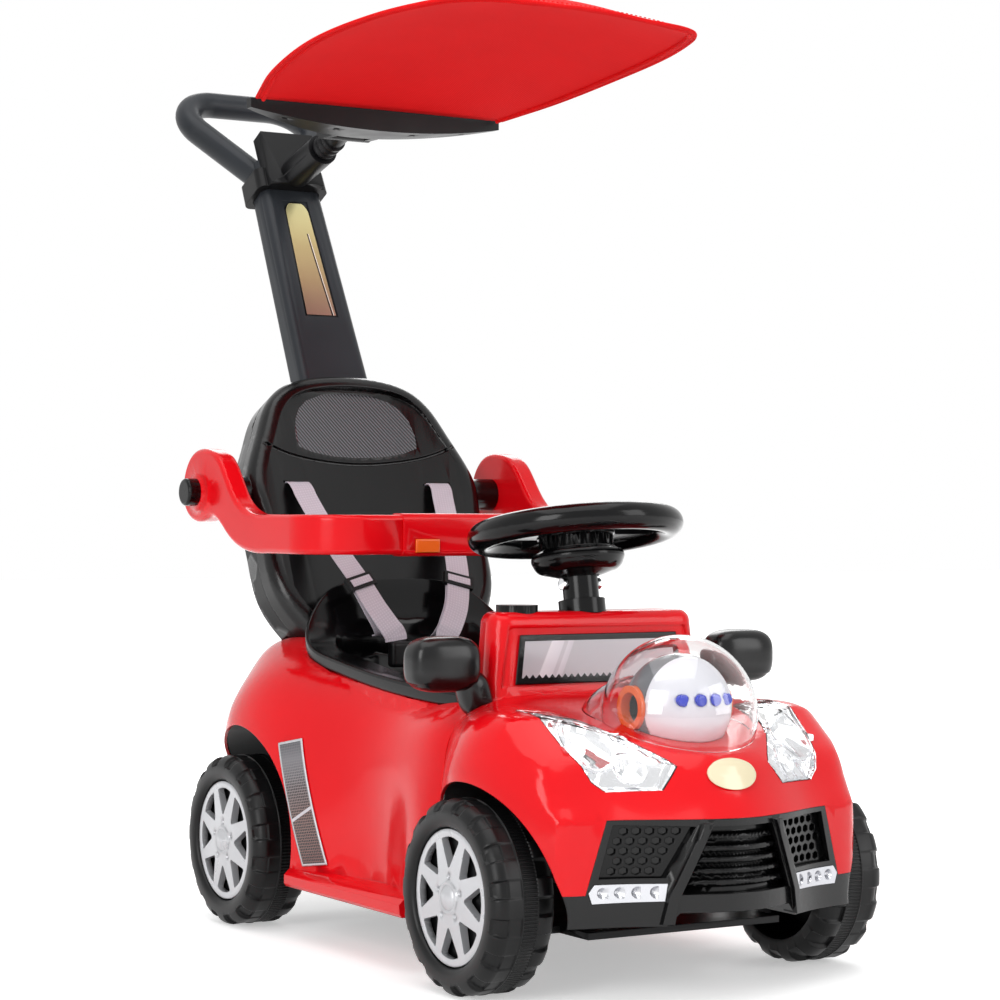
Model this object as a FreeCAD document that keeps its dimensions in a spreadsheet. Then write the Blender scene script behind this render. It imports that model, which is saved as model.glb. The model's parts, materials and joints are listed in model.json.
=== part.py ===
"""Push car with handle: a child's ride-on with steered front wheels, guard rail, push handle and canopy.

Millimetres, +Z up, the nose points to -Y, the car's left side is +X. The origin is the middle of the
footprint on the floor.
"""

import FreeCAD, Part
import math
import os
import re

import Sketcher

os.makedirs("parts", exist_ok=True)
document = FreeCAD.newDocument("push_car")
sheet = document.addObject("Spreadsheet::Sheet", "sizes")

SIZES = {
    # whole car
    "overall_length": 995,
    "wheelbase": 443,
    "front_overhang": 148.5,
    "track": 344,
    # wheels
    "tyre_radius": 83,
    "tyre_width": 62,
    "tread_band": 24,
    "lug_count": 16,
    "lug_gap": 10,
    "lug_depth": 4,
    "wheel_wall": 3.5,
    "rim_radius": 58,
    "rim_recess": 13,
    "rim_thickness": 7,
    "window_count": 8,
    "nut_count": 5,
    "hub_radius": 13,
    "cap_radius": 12.2,
    "axle_radius": 6,
    "running_gap": 0.05,
    "seat_gap": 0.3,
    "push_nut_radius": 9.5,
    "push_nut_thickness": 3,
    # steering
    "steering_lean": 10,
    "wheel_hub_offset": 115.5,
    "wheel_hub_height": 390,
    "wheel_ring_radius": 87,
    "wheel_grip_radius": 12.5,
    "kingpin_half": 112,
    "kingpin_radius": 7,
    "steering_arm": 42,
    "pin_radius": 4,
    "pin_clearance": 0.3,
    "crank_clearance": 2,
    "rod_thickness": 5,
    "sleeve_radius": 16.5,
    "bell_radius": 43,
    "horn_radius": 16,
    "tune_radius": 6,
    "light_radius": 19,
    # body
    "wall": 3.5,
    "sill_height": 50,
    "arch_gap": 23,
    "scuttle_height": 318,
    "floor_thickness": 6,
    "floor_half": 100,
    # seat and backrest
    "seat_half": 118,
    "seat_rim": 21,
    "seat_depth": 20,
    "backrest_lean": 24,
    "backrest_half": 136,
    "backrest_top": 556,
    "backrest_thickness": 52,
    # guard rail
    "guard_pivot_offset": 92.5,
    "guard_pivot_height": 426,
    "guard_reach": 259,
    "guard_half": 184,
    "guard_thickness": 22,
    "guard_height": 38,
    "guard_drop": 41,
    "guard_corner": 58,
    "guard_seam": 91,
    "guard_pin_radius": 8,
    "knob_radius": 14,
    "latch_length": 26,
    # push handle
    "pole_lean": 27,
    "pole_width_low": 86,
    "pole_width_top": 70,
    "pole_depth": 34,
    "pole_foot_height": 470,
    "pole_top_height": 790,
    "loop_tube": 14.5,
    "loop_half": 92,
    "loop_height": 872,
    # canopy
    "canopy_half": 147,
    "canopy_front_half": 112,
    "canopy_reach": 415,
    "canopy_thickness": 1.6,
    "holder_height": 827,
}

for row, (alias, value) in enumerate(SIZES.items(), start=1):
    sheet.set(f"A{row}", alias)
    sheet.set(f"B{row}", str(value))
    sheet.setAlias(f"B{row}", alias)
document.recompute()

# Places along the car, as formulas of the sizes above.
FRONT_Y = "(-overall_length / 2 + front_overhang)"
REAR_Y = "(-overall_length / 2 + front_overhang + wheelbase)"
WHEEL_OUT = "(tyre_width / 2)"
RIM_FLOOR = "(tyre_width / 2 - rim_recess)"
STUB_END = "(track / 2 + tyre_width / 2 - rim_recess + push_nut_thickness + 2)"
HUB_INNER = "(track / 2 - tyre_width / 2 + 5)"
FLOOR_TOP = "(sill_height + floor_thickness - 2)"

PIECES = []
Vector = FreeCAD.Vector


def linked(text):
    """A formula of size names, as an expression on the sheet's cells."""
    return re.sub(
        r"[a-z][a-z_]+",
        lambda m: "sizes." + m.group(0) if m.group(0) in SIZES else m.group(0),
        str(text),
    )


def number(text):
    """The value of a formula of size names."""
    return float(sheet.evalExpression(linked(text)))


def bind(thing, **formulas):
    """Ties properties of an object to the sheet."""
    for name, text in formulas.items():
        thing.setExpression(name.replace("__", "."), linked(text))


def bind_place(thing, x="0", y="0", z="0"):
    bind(thing, Placement__Base__x=x, Placement__Base__y=y, Placement__Base__z=z)


def keep(thing, label):
    """Marks an object as a finished piece of the car."""
    thing.Label = label
    PIECES.append(thing)
    return thing


TURNS = {
    "x": FreeCAD.Rotation(Vector(0, 1, 0), 90),
    "y": FreeCAD.Rotation(Vector(1, 0, 0), -90),
    "z": FreeCAD.Rotation(),
}


def box(name, size, corner):
    """A box with its low corner at the given place."""
    thing = document.addObject("Part::Box", name)
    bind(thing, Length=size[0], Width=size[1], Height=size[2])
    bind_place(thing, *corner)
    return thing


def cylinder(name, radius, length, start, axis="z"):
    """A cylinder that runs from its start along an axis of the car."""
    thing = document.addObject("Part::Cylinder", name)
    thing.Placement = FreeCAD.Placement(Vector(), TURNS[axis])
    bind(thing, Radius=radius, Height=length)
    bind_place(thing, *start)
    return thing


def fuse(name, things):
    joined = document.addObject("Part::MultiFuse", name)
    joined.Shapes = things
    joined.Refine = True
    return joined


def cut(name, base, tool):
    less = document.addObject("Part::Cut", name)
    less.Base = base
    less.Tool = tool
    less.Refine = True
    return less


def feature(name, shape):
    """A shape that neither a sketch nor a primitive gives."""
    thing = document.addObject("Part::Feature", name)
    thing.Shape = shape
    return thing


def origin_plane(body, role):
    return next(item for item in body.Origin.OriginFeatures if item.Role == role)


def sketch_on(body, role, name, offset=None, turn=0):
    """A sketch on one of a body's own origin planes, moved along its normal by a formula."""
    sketch = body.newObject("Sketcher::SketchObject", name)
    sketch.AttachmentSupport = [(origin_plane(body, role), "")]
    sketch.MapMode = "FlatFace"
    if offset is not None:
        sketch.AttachmentOffset = FreeCAD.Placement(Vector(), FreeCAD.Rotation(Vector(0, 0, 1), turn))
        sketch.setExpression("AttachmentOffset.Base.z", linked(offset))
    return sketch


def trace(sketch, corners):
    """A closed outline through corners given as formulas; a corner with a third entry is reached by an
    arc through that mid point."""
    ends = [(number(c[0]), number(c[1])) for c in corners]
    count = len(corners)
    flipped = [False] * count
    for i in range(count):
        a = Vector(*ends[i - 1], 0)
        b = Vector(*ends[i], 0)
        if len(corners[i]) == 3:
            middle = Vector(number(corners[i][2][0]), number(corners[i][2][1]), 0)
            flipped[i] = (middle - a).cross(b - middle).z < 0
            first, last = (b, a) if flipped[i] else (a, b)
            sketch.addGeometry(Part.Arc(first, middle, last), False)
        else:
            sketch.addGeometry(Part.LineSegment(a, b), False)
    for i in range(count):
        tail = 1 if flipped[i] else 2
        after = (i + 1) % count
        head = 2 if flipped[after] else 1
        sketch.addConstraint(Sketcher.Constraint("Coincident", i, tail, after, head))
        for kind, text, value, axis in (
            ("DistanceX", corners[i][0], ends[i][0], -2),
            ("DistanceY", corners[i][1], ends[i][1], -1),
        ):
            if abs(value) < 1e-9:
                sketch.addConstraint(Sketcher.Constraint("PointOnObject", i, tail, axis))
                continue
            k = sketch.addConstraint(Sketcher.Constraint(kind, -1, 1, i, tail, value))
            sketch.setExpression(f"Constraints[{k}]", linked(text))


def circle_on(sketch, x, y, radius):
    place = Vector(number(x), number(y), 0)
    k = sketch.addGeometry(Part.Circle(place, Vector(0, 0, 1), number(radius)), False)
    c = sketch.addConstraint(Sketcher.Constraint("Radius", k, number(radius)))
    sketch.setExpression(f"Constraints[{c}]", linked(radius))
    for kind, text, axis in (("DistanceX", x, -2), ("DistanceY", y, -1)):
        if abs(number(text)) < 1e-9:
            sketch.addConstraint(Sketcher.Constraint("PointOnObject", k, 3, axis))
            continue
        c = sketch.addConstraint(Sketcher.Constraint(kind, -1, 1, k, 3, number(text)))
        sketch.setExpression(f"Constraints[{c}]", linked(text))


def revolve(body, corners, name):
    """Turns an outline of (along X, radius) corners about the body's X axis."""
    sketch = sketch_on(body, "XZ_Plane", name + "_outline")
    trace(sketch, corners)
    turned = body.newObject("PartDesign::Revolution", name)
    turned.Profile = sketch
    turned.ReferenceAxis = (sketch, ["H_Axis"])
    turned.Angle = 360
    document.recompute()
    return turned


def pocket_along_x(body, name, sketch, length=None, forward=True):
    """Cuts a sketch out along X, the whole way through or over a length."""
    hollow = body.newObject("PartDesign::Pocket", name)
    hollow.Profile = sketch
    if length is None:
        hollow.Type = 1
        hollow.Midplane = True
    else:
        hollow.Reversed = forward
        bind(hollow, Length=length)
    document.recompute()
    return hollow


def ring_pattern(body, name, original, count):
    pattern = body.newObject("PartDesign::PolarPattern", name)
    pattern.Originals = [original]
    pattern.Axis = (origin_plane(body, "X_Axis"), [""])
    pattern.Angle = 360
    bind(pattern, Occurrences=count)
    body.Tip = pattern
    document.recompute()
    return pattern


SIDES = (("right", -1), ("left", 1))


def place_wheel(body, axle_y, side):
    turn = 0 if side > 0 else 180
    body.Placement = FreeCAD.Placement(Vector(), FreeCAD.Rotation(Vector(0, 0, 1), turn))
    bind_place(body, f"{side} * track / 2", axle_y, "tyre_radius")


def make_wheel(name, axle_y, side):
    """Hollow moulded wheel: tread drum with shoulder lugs, sidewall, rim recess, web and hub tube."""
    body = document.addObject("PartDesign::Body", name + "_wheel")
    lip = "(tyre_radius - 17)"
    drum = "(tyre_radius - lug_depth - wheel_wall)"
    half = WHEEL_OUT
    bore = "axle_radius + running_gap"
    revolve(body, [
        (f"-{half} + 5", bore),
        (RIM_FLOOR, bore),
        (RIM_FLOOR, "rim_radius"),
        (f"{half} - 1.5", "rim_radius"),
        (half, "rim_radius + 2"),
        (half, "tyre_radius - 13"),
        (f"{half} - 4", "tyre_radius - 4"),
        (f"{half} - 10", "tyre_radius"),
        (f"-{half} + 10", "tyre_radius"),
        (f"-{half} + 4", "tyre_radius - 4"),
        (f"-{half}", "tyre_radius - 13"),
        (f"-{half}", lip),
        (f"-{half} + wheel_wall", lip),
        (f"-{half} + wheel_wall", drum),
        (f"{half} - wheel_wall - 5", drum),
        (f"{half} - wheel_wall", "tyre_radius - 13"),
        (f"{half} - wheel_wall", "rim_radius + wheel_wall"),
        (f"{RIM_FLOOR} - wheel_wall", "rim_radius + wheel_wall"),
        (f"{RIM_FLOOR} - wheel_wall", "hub_radius"),
        (f"-{half} + 5", "hub_radius"),
    ], name + "_drum")
    for word, sign, turn in (("outer", 1, 0), ("inner", -1, 180 / number("lug_count"))):
        sketch = sketch_on(body, "YZ_Plane", f"{name}_{word}_gap", f"{sign} * tread_band / 2", turn)
        floor = "tyre_radius - lug_depth"
        trace(sketch, [
            ("-lug_gap / 2", "tyre_radius + lug_depth"),
            ("-lug_gap / 2 + 1.5", floor),
            ("lug_gap / 2 - 1.5", floor),
            ("lug_gap / 2", "tyre_radius + lug_depth"),
        ])
        slot = pocket_along_x(body, f"{name}_{word}_slot", sketch, "tyre_width", sign > 0)
        ring_pattern(body, f"{name}_{word}_lugs", slot, "lug_count")
    place_wheel(body, axle_y, side)
    return keep(body, name + "_wheel")


def make_rim(name, axle_y, side):
    """Silver rim cover with fan-shaped windows, wheel-nut dimples and a domed centre cap."""
    body = document.addObject("PartDesign::Body", name + "_rim")
    outer = "(rim_radius - seat_gap)"
    front = "(tyre_width / 2 - 4)"
    back = f"({front} - rim_thickness)"
    revolve(body, [
        (RIM_FLOOR, f"{outer} - 3"),
        (RIM_FLOOR, outer),
        (f"{front} - 1", outer),
        (front, f"{outer} - 1.5"),
        (f"{front} - 0.5", "rim_radius * 0.88"),
        (f"{front} + 1", "rim_radius * 0.42"),
        (f"{front} + 1", "cap_radius + 2.2"),
        (f"{front} + 2.6", "cap_radius + 1.6"),
        (f"{front} + 2.6", "cap_radius"),
        (f"{front} + 1.6", "cap_radius - 1"),
        (f"{front} + 6", "0", (f"{front} + 5", "cap_radius / 2")),
        (f"{front} + 3", "0"),
        (f"{front}", "cap_radius - 1"),
        (back, "cap_radius - 1"),
        (back, f"{outer} - 3"),
    ], name + "_disc")
    sketch = sketch_on(body, "YZ_Plane", name + "_window", "0")
    trace(sketch, [
        ("-rim_radius * 0.04", "rim_radius * 0.47"),
        ("rim_radius * 0.04", "rim_radius * 0.47", ("0", "rim_radius * 0.44")),
        ("rim_radius * 0.235", "rim_radius * 0.80"),
        ("rim_radius * 0.20", "rim_radius * 0.85", ("rim_radius * 0.235", "rim_radius * 0.835")),
        ("-rim_radius * 0.20", "rim_radius * 0.85", ("0", "rim_radius * 0.885")),
        ("-rim_radius * 0.235", "rim_radius * 0.80", ("-rim_radius * 0.235", "rim_radius * 0.835")),
    ])
    window = pocket_along_x(body, name + "_window_cut", sketch)
    ring_pattern(body, name + "_windows", window, "window_count")
    sketch = sketch_on(body, "YZ_Plane", name + "_nut", f"{front} - 1.5")
    circle_on(sketch, "0", "rim_radius * 0.32", "rim_radius * 0.05")
    dimple = pocket_along_x(body, name + "_nut_cut", sketch, "rim_thickness", True)
    ring_pattern(body, name + "_nuts", dimple, "nut_count")
    place_wheel(body, axle_y, side)
    return keep(body, name + "_rim")


for axle, axle_y in (("front", FRONT_Y), ("rear", REAR_Y)):
    for word, side in SIDES:
        make_wheel(f"{axle}_{word}", axle_y, side)
        make_rim(f"{axle}_{word}", axle_y, side)


# Rear axle, its carrier and push nuts.
NUT_START = f"(track / 2 + {RIM_FLOOR} + seat_gap)"
BEAM_LOW = "(tyre_radius + 33)"
BEAM_TOP = "(tyre_radius + 41)"
ROD_LOW = "(tyre_radius + 20.4)"
PIN_TOP = "(tyre_radius + 29)"
ARM_LOW = "(tyre_radius + 12)"


rear_axle_parts = [
    cylinder("rear_rod", "axle_radius", f"2 * {STUB_END}", (f"-{STUB_END}", REAR_Y, "tyre_radius"), "x"),
    cylinder(
        "rear_nut_right",
        "push_nut_radius",
        "push_nut_thickness",
        (f"-{NUT_START} - push_nut_thickness", REAR_Y, "tyre_radius"),
        "x",
    ),
    cylinder(
        "rear_nut_left", "push_nut_radius", "push_nut_thickness", (NUT_START, REAR_Y, "tyre_radius"), "x"
    ),
]
keep(fuse("rear_axle", rear_axle_parts), "rear_axle")

block_end = f"({HUB_INNER} - seat_gap)"
carrier_parts = [
    box(
        "carrier_block_right",
        ("60", "36", f"tyre_radius + 16 - {FLOOR_TOP}"),
        (f"-{block_end}", f"{REAR_Y} - 18", FLOOR_TOP),
    ),
    box(
        "carrier_block_left",
        ("60", "36", f"tyre_radius + 16 - {FLOOR_TOP}"),
        (f"{block_end} - 60", f"{REAR_Y} - 18", FLOOR_TOP),
    ),
    box(
        "carrier_rib",
        (f"2 * {block_end} - 60", "10", f"tyre_radius + 12 - {FLOOR_TOP}"),
        (f"-{block_end} + 30", f"{REAR_Y} - 5", FLOOR_TOP),
    ),
]
carrier_bore = cylinder(
    "carrier_bore",
    "axle_radius + running_gap",
    f"2 * {STUB_END}",
    (f"-{STUB_END}", REAR_Y, "tyre_radius"),
    "x",
)

# Front axle beam, knuckles with stub axles, and the tie rod.
ARM_PIN_Y = f"({FRONT_Y} - steering_arm)"
HUB_Y = f"({FRONT_Y} + wheel_hub_offset)"
CRANK_Z = f"({ROD_LOW} + rod_thickness / 2)"
CRANK_PIN_Y = f"({HUB_Y} - (wheel_hub_height - {CRANK_Z}) * tan(steering_lean) - steering_arm)"

beam = box(
    "beam_plate",
    ("2 * (kingpin_half + 14)", "30", f"{BEAM_TOP} - {BEAM_LOW}"),
    ("-kingpin_half - 14", f"{FRONT_Y} - 15", BEAM_LOW),
)
kingpin_bores = [
    cylinder(
        f"kingpin_bore_{word}",
        "kingpin_radius + running_gap",
        f"{BEAM_TOP} - sill_height + 40",
        (f"{side} * kingpin_half", FRONT_Y, "sill_height - 20"),
    )
    for word, side in SIDES
]
keep(cut("front_axle_beam", beam, fuse("beam_bores", kingpin_bores)), "front_axle_beam")


def make_knuckle(word, side):
    """Steering knuckle: kingpin, barrel, stub axle, steering arm and its pin."""
    x = f"{side} * kingpin_half"
    run = f"({STUB_END} - kingpin_half)"
    shoulder = f"({HUB_INNER} - seat_gap - kingpin_half)"
    start = x if side > 0 else f"{x} - {run}"
    near = x if side > 0 else f"{x} - {shoulder}"
    low = f"({FLOOR_TOP} + seat_gap)"
    nut = NUT_START if side > 0 else f"-{NUT_START} - push_nut_thickness"
    parts = [
        cylinder(
            f"{word}_kingpin",
            "kingpin_radius",
            f"{BEAM_TOP} - sill_height + 2",
            (x, FRONT_Y, "sill_height - 2"),
        ),
        cylinder(f"{word}_barrel", "hub_radius", f"{BEAM_LOW} - seat_gap - {low}", (x, FRONT_Y, low)),
        cylinder(f"{word}_stub", "axle_radius", run, (start, FRONT_Y, "tyre_radius"), "x"),
        cylinder(f"{word}_shoulder", "axle_radius + 5", shoulder, (near, FRONT_Y, "tyre_radius"), "x"),
        box(
            f"{word}_arm",
            ("16", "steering_arm", "8"),
            (f"{x} - 8", f"{FRONT_Y} - steering_arm", ARM_LOW),
        ),
        cylinder(f"{word}_arm_eye", "8", "8", (x, ARM_PIN_Y, ARM_LOW)),
        cylinder(
            f"{word}_push_nut",
            "push_nut_radius",
            "push_nut_thickness",
            (nut, FRONT_Y, "tyre_radius"),
            "x",
        ),
        cylinder(f"{word}_arm_pin", "pin_radius", f"{PIN_TOP} - {ARM_LOW}", (x, ARM_PIN_Y, ARM_LOW)),
    ]
    keep(fuse(f"{word}_knuckle", parts), f"{word}_knuckle")

for word, side in SIDES:
    make_knuckle(word, side)

rod_parts = [
    box(
        "rod_bar",
        ("2 * kingpin_half", "16", "rod_thickness"),
        ("-kingpin_half", f"{ARM_PIN_Y} - 8", ROD_LOW),
    ),
    box(
        "rod_tongue", ("18", f"{CRANK_PIN_Y} - {ARM_PIN_Y}", "rod_thickness"), ("-9", ARM_PIN_Y, ROD_LOW)
    ),
    cylinder(
        "rod_crank_eye", "pin_radius + crank_clearance + 6", "rod_thickness", ("0", CRANK_PIN_Y, ROD_LOW)
    ),
]
rod_holes = [
    cylinder(
        "rod_crank_hole", "pin_radius + crank_clearance", "rod_thickness", ("0", CRANK_PIN_Y, ROD_LOW)
    )
]
for word, side in SIDES:
    place = (f"{side} * kingpin_half", ARM_PIN_Y, ROD_LOW)
    rod_parts.append(cylinder(f"rod_eye_{word}", "9", "rod_thickness", place))
    rod_holes.append(cylinder(f"rod_hole_{word}", "pin_radius + pin_clearance", "rod_thickness", place))
keep(cut("tie_rod", fuse("rod_solid", rod_parts), fuse("rod_hole_set", rod_holes)), "tie_rod")

# Steering column and wheel, drawn about the column's own axis.
lean = math.radians(number("steering_lean"))
column_way = Vector(0, math.sin(lean), math.cos(lean))
hub_centre = Vector(0, number(HUB_Y), number("wheel_hub_height"))


def lay_on_column(thing, axis):
    """Places a piece drawn about the origin on the steering column, its axis along the column."""
    thing.Placement = FreeCAD.Placement(Vector(), FreeCAD.Rotation(axis, column_way))
    bind_place(thing, "0", HUB_Y, "wheel_hub_height")
    return thing


def column_cylinder(name, radius, low, top):
    """A cylinder about the column, from low to top measured along it from the wheel's centre."""
    thing = document.addObject("Part::Cylinder", name)
    bind(thing, Radius=radius, Height=f"({top}) - ({low})")
    thing.Placement = FreeCAD.Placement(Vector(), FreeCAD.Rotation(Vector(0, 0, 1), column_way))
    shift = f"({low})"
    bind_place(
        thing,
        "0",
        f"{HUB_Y} + {shift} * sin(steering_lean)",
        f"wheel_hub_height + {shift} * cos(steering_lean)",
    )
    return thing


COLUMN_FOOT = "(-(wheel_hub_height - sill_height + 2) / cos(steering_lean))"
COLUMN_TOP = "-8"
BELL_LOW = "-43"
SLEEVE_LOW = "(-(wheel_hub_height - scuttle_height + 8) / cos(steering_lean))"
COLLAR_LOW = "(-(wheel_hub_height - scuttle_height + 5) / cos(steering_lean))"
COLLAR_TOP = "(-(wheel_hub_height - scuttle_height - 9) / cos(steering_lean))"
CRANK_AXIS_Y = f"({CRANK_PIN_Y} + steering_arm)"

column_parts = [
    column_cylinder("column_rod", "axle_radius", COLUMN_FOOT, COLUMN_TOP),
    column_cylinder(
        "column_boss",
        "axle_radius + 5",
        f"-(wheel_hub_height - {ARM_LOW}) / cos(steering_lean) - 4",
        f"-(wheel_hub_height - {ARM_LOW}) / cos(steering_lean) + 14",
    ),
    box("crank_arm", ("18", "steering_arm", "6"), ("-9", CRANK_PIN_Y, ARM_LOW)),
    cylinder("crank_eye", "9", "6", ("0", CRANK_PIN_Y, ARM_LOW)),
    cylinder("crank_pin", "pin_radius", f"{PIN_TOP} - {ARM_LOW}", ("0", CRANK_PIN_Y, ARM_LOW)),
]
keep(fuse("steering_column", column_parts), "steering_column")

sleeve = cut(
    "sleeve_tube",
    column_cylinder("sleeve_outer", "sleeve_radius", SLEEVE_LOW, BELL_LOW),
    column_cylinder("sleeve_bore", "axle_radius + running_gap", SLEEVE_LOW, BELL_LOW),
)
BOLT_AT = "(-49)"
bolt_hole = cylinder(
    "bolt_hole",
    "3 + running_gap",
    "4 * sleeve_radius",
    (
        "-2 * sleeve_radius",
        f"{HUB_Y} + {BOLT_AT} * sin(steering_lean)",
        f"wheel_hub_height + {BOLT_AT} * cos(steering_lean)",
    ),
    "x",
)
keep(cut("column_sleeve", sleeve, bolt_hole), "column_sleeve")
bolt_place = (
    f"{HUB_Y} + {BOLT_AT} * sin(steering_lean)", f"wheel_hub_height + {BOLT_AT} * cos(steering_lean)"
)
bolt_parts = []
for word, side in SIDES:
    inner = "axle_radius + seat_gap"
    start = inner if side > 0 else f"-sleeve_radius - 4"
    bolt_parts.append(
        cylinder(
            f"bolt_shank_{word}",
            "3",
            "sleeve_radius + 4 - axle_radius - seat_gap",
            (start, *bolt_place),
            "x",
        )
    )
    head = "sleeve_radius" if side > 0 else "-sleeve_radius - 4"
    bolt_parts.append(cylinder(f"bolt_head_{word}", "5.5", "4", (head, *bolt_place), "x"))
keep(fuse("column_bolt", bolt_parts), "column_bolt")

collar = cut(
    "column_collar",
    column_cylinder("collar_outer", "sleeve_radius + 5", COLLAR_LOW, COLLAR_TOP),
    column_cylinder("collar_bore", "sleeve_radius + seat_gap", COLLAR_LOW, COLLAR_TOP),
)
keep(collar, "column_collar")

bell = document.addObject("PartDesign::Body", "wheel_bell")
revolve(bell, [
    (BELL_LOW, "axle_radius + running_gap"),
    (BELL_LOW, "sleeve_radius + 1"),
    ("-39", "bell_radius * 0.72"),
    ("-30", "bell_radius - 1.5", ("-35.5", "bell_radius * 0.89")),
    ("-21", "bell_radius - 1.5", ("-25.5", "bell_radius")),
    ("-17", "bell_radius * 0.8"),
    ("-6", "bell_radius * 0.8"),
    ("-6", "0"),
    (COLUMN_TOP, "0"),
    (COLUMN_TOP, "axle_radius + running_gap"),
], "bell_turn")
keep(lay_on_column(bell, Vector(1, 0, 0)), "wheel_bell")

grip = document.addObject("Part::Torus", "wheel_grip")
bind(grip, Radius1="wheel_ring_radius", Radius2="wheel_grip_radius")
spoke_start = "(bell_radius * 0.6)"
spoke_run = f"(wheel_ring_radius - {spoke_start})"
wheel_parts = [
    grip,
    cylinder("wheel_hub", "bell_radius * 0.84", "10", ("0", "0", "-6")),
    box("spoke_right", (spoke_run, "34", "9"), ("-wheel_ring_radius", "-12", "-5")),
    box("spoke_left", (spoke_run, "34", "9"), (spoke_start, "-12", "-5")),
    box("spoke_near", ("26", spoke_run, "9"), ("-13", spoke_start, "-5")),
]
steering_wheel = fuse("steering_wheel", wheel_parts)
lay_on_column(steering_wheel, Vector(0, 0, 1))
keep(steering_wheel, "steering_wheel")

PAD_LOW = "4"
PAD_TOP = "13"
TUNE_AT = "((horn_radius + bell_radius * 0.8) / 2)"
pad_holes = [cylinder("horn_well", "horn_radius + seat_gap", "20", ("0", "0", PAD_LOW))]
for word, side in SIDES:
    pad_holes.append(
        cylinder(
            f"tune_well_{word}", "tune_radius + seat_gap", "20", (f"{side} * {TUNE_AT}", "0", PAD_LOW)
        )
    )
pad = cut(
    "hub_pad",
    cylinder("pad_disc", "bell_radius * 0.8", f"{PAD_TOP} - {PAD_LOW}", ("0", "0", PAD_LOW)),
    fuse("pad_wells", pad_holes),
)
keep(lay_on_column(pad, Vector(0, 0, 1)), "hub_pad")


def column_button(name, radius, low, top, x="0"):
    """A round button whose axis is along the column."""
    button = fuse(name, [
        cylinder(name + "_stem", radius, f"{top} - 1.5 - {low}", (x, "0", low)),
        cylinder(name + "_crown", f"{radius} - 1", f"{top} - {low}", (x, "0", low)),
    ])
    return keep(lay_on_column(button, Vector(0, 0, 1)), name)


column_button("horn_button", "horn_radius", "(4 + 3.4)", "16")
for word, side in SIDES:
    column_button(f"{word}_tune_button", "tune_radius", "(4 + 2.9)", "15", f"{side} * {TUNE_AT}")


# Body shell. Each station is (place along the car, half outline from the sill up to the middle).
front_y = number(FRONT_Y)
rear_y = number(REAR_Y)
wall = number("wall")
gap = number("seat_gap")
sill = number("sill_height")
seat_half = number("seat_half")

FRONT_STATIONS = [
    (104.5, [(150, 52), (149, 95), (147, 140), (144, 180), (138, 208), (118, 227), (0, 231)]),
    (80, [(167, 58), (166, 100), (163, 145), (158, 185), (147, 217), (118, 238), (0, 244)]),
    (54, [(180, 76), (179, 118), (176, 158), (170, 194), (154, 225), (118, 240), (0, 243)]),
    (0, [(182, 92), (184, 130), (184, 170), (179, 206), (160, 233), (112, 236), (0, 231)]),
    (-54, [(172, 92), (174, 130), (173, 165), (167, 196), (149, 222), (104, 226), (0, 219)]),
    (-99, [(152, 92), (154, 122), (153, 150), (147, 172), (132, 192), (90, 206), (0, 208)]),
    (-156, [(128, 92), (129, 115), (129, 138), (125, 158), (114, 174), (80, 188), (0, 194)]),
]
REAR_STATIONS = [
    (-262, [(151, 52), (150, 95), (148, 140), (145, 180), (138, 208), (119, 229), (0, 233)]),
    (-181, [(152, 52), (152, 95), (150, 140), (146, 180), (138, 208), (120, 232), (0, 235)]),
    (-126, [(170, 52), (170, 95), (167, 140), (160, 185), (148, 219), (123, 245), (0, 247)]),
    (-72, [(180, 60), (182, 105), (181, 150), (175, 195), (158, 234), (126, 257), (0, 258)]),
    (0, [(182, 60), (184, 110), (184, 165), (179, 212), (160, 246), (128, 270), (0, 274)]),
    (54, [(172, 80), (174, 120), (174, 165), (167, 207), (149, 238), (126, 266), (0, 276)]),
    (94, [(140, 120), (143, 142), (143, 168), (136, 200), (122, 228), (105, 252), (0, 262)]),
    (111, [(95, 132), (98, 148), (98, 168), (93, 190), (84, 212), (72, 232), (0, 240)]),
]
NOSE_PLAN = [
    (0, -148.5), (35, -141.5), (64, -129.5), (95, -115), (127, -106), (152, -98), (172, -70), (190, -20)
]
# Height on the nose and how far its face has leaned back there.
NOSE_LEAN = [
    (154, 0), (165, 8), (177, 14.5), (188, 18.5), (197, 23), (204, 31), (214, 44), (240, 78), (330, 200)
]


def spline(points, parameters=None):
    curve = Part.BSplineCurve()
    corners = [Vector(*p) for p in points]
    if parameters is None:
        curve.interpolate(corners)
    else:
        curve.interpolate(Points=corners, Parameters=parameters)
    return curve.toShape()


def shared_parameters(lines):
    """Mean distance along several lines of as many points, so that their splines match one another."""
    count = len(lines[0])
    steps = [0.0] * count
    for line in lines:
        for i in range(1, count):
            steps[i] += math.dist(line[i - 1], line[i]) / len(lines)
    return [sum(steps[:i + 1]) for i in range(count)]


def polygon(points):
    corners = [Vector(*p) for p in points]
    return Part.makePolygon(corners + corners[:1])


def shifted(points, distance):
    """Points of a flat open curve moved sideways by a distance, to the left of its run."""
    moved = []
    for i, (x, z) in enumerate(points):
        ax, az = points[max(i - 1, 0)]
        bx, bz = points[min(i + 1, len(points) - 1)]
        size = math.hypot(bx - ax, bz - az)
        moved.append((x - distance * (bz - az) / size, z + distance * (bx - ax) / size))
    return moved


def station_line(half, grow, deeper):
    """Outline of the body at one station, grown by a distance, its feet lowered by deeper."""
    right = [(-x, z) for x, z in half]
    line = shifted(right + [(-x, z) for x, z in reversed(right[:-1])], grow)
    line[0] = (line[0][0], line[0][1] - deeper)
    line[-1] = (line[-1][0], line[-1][1] - deeper)
    return line


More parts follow.
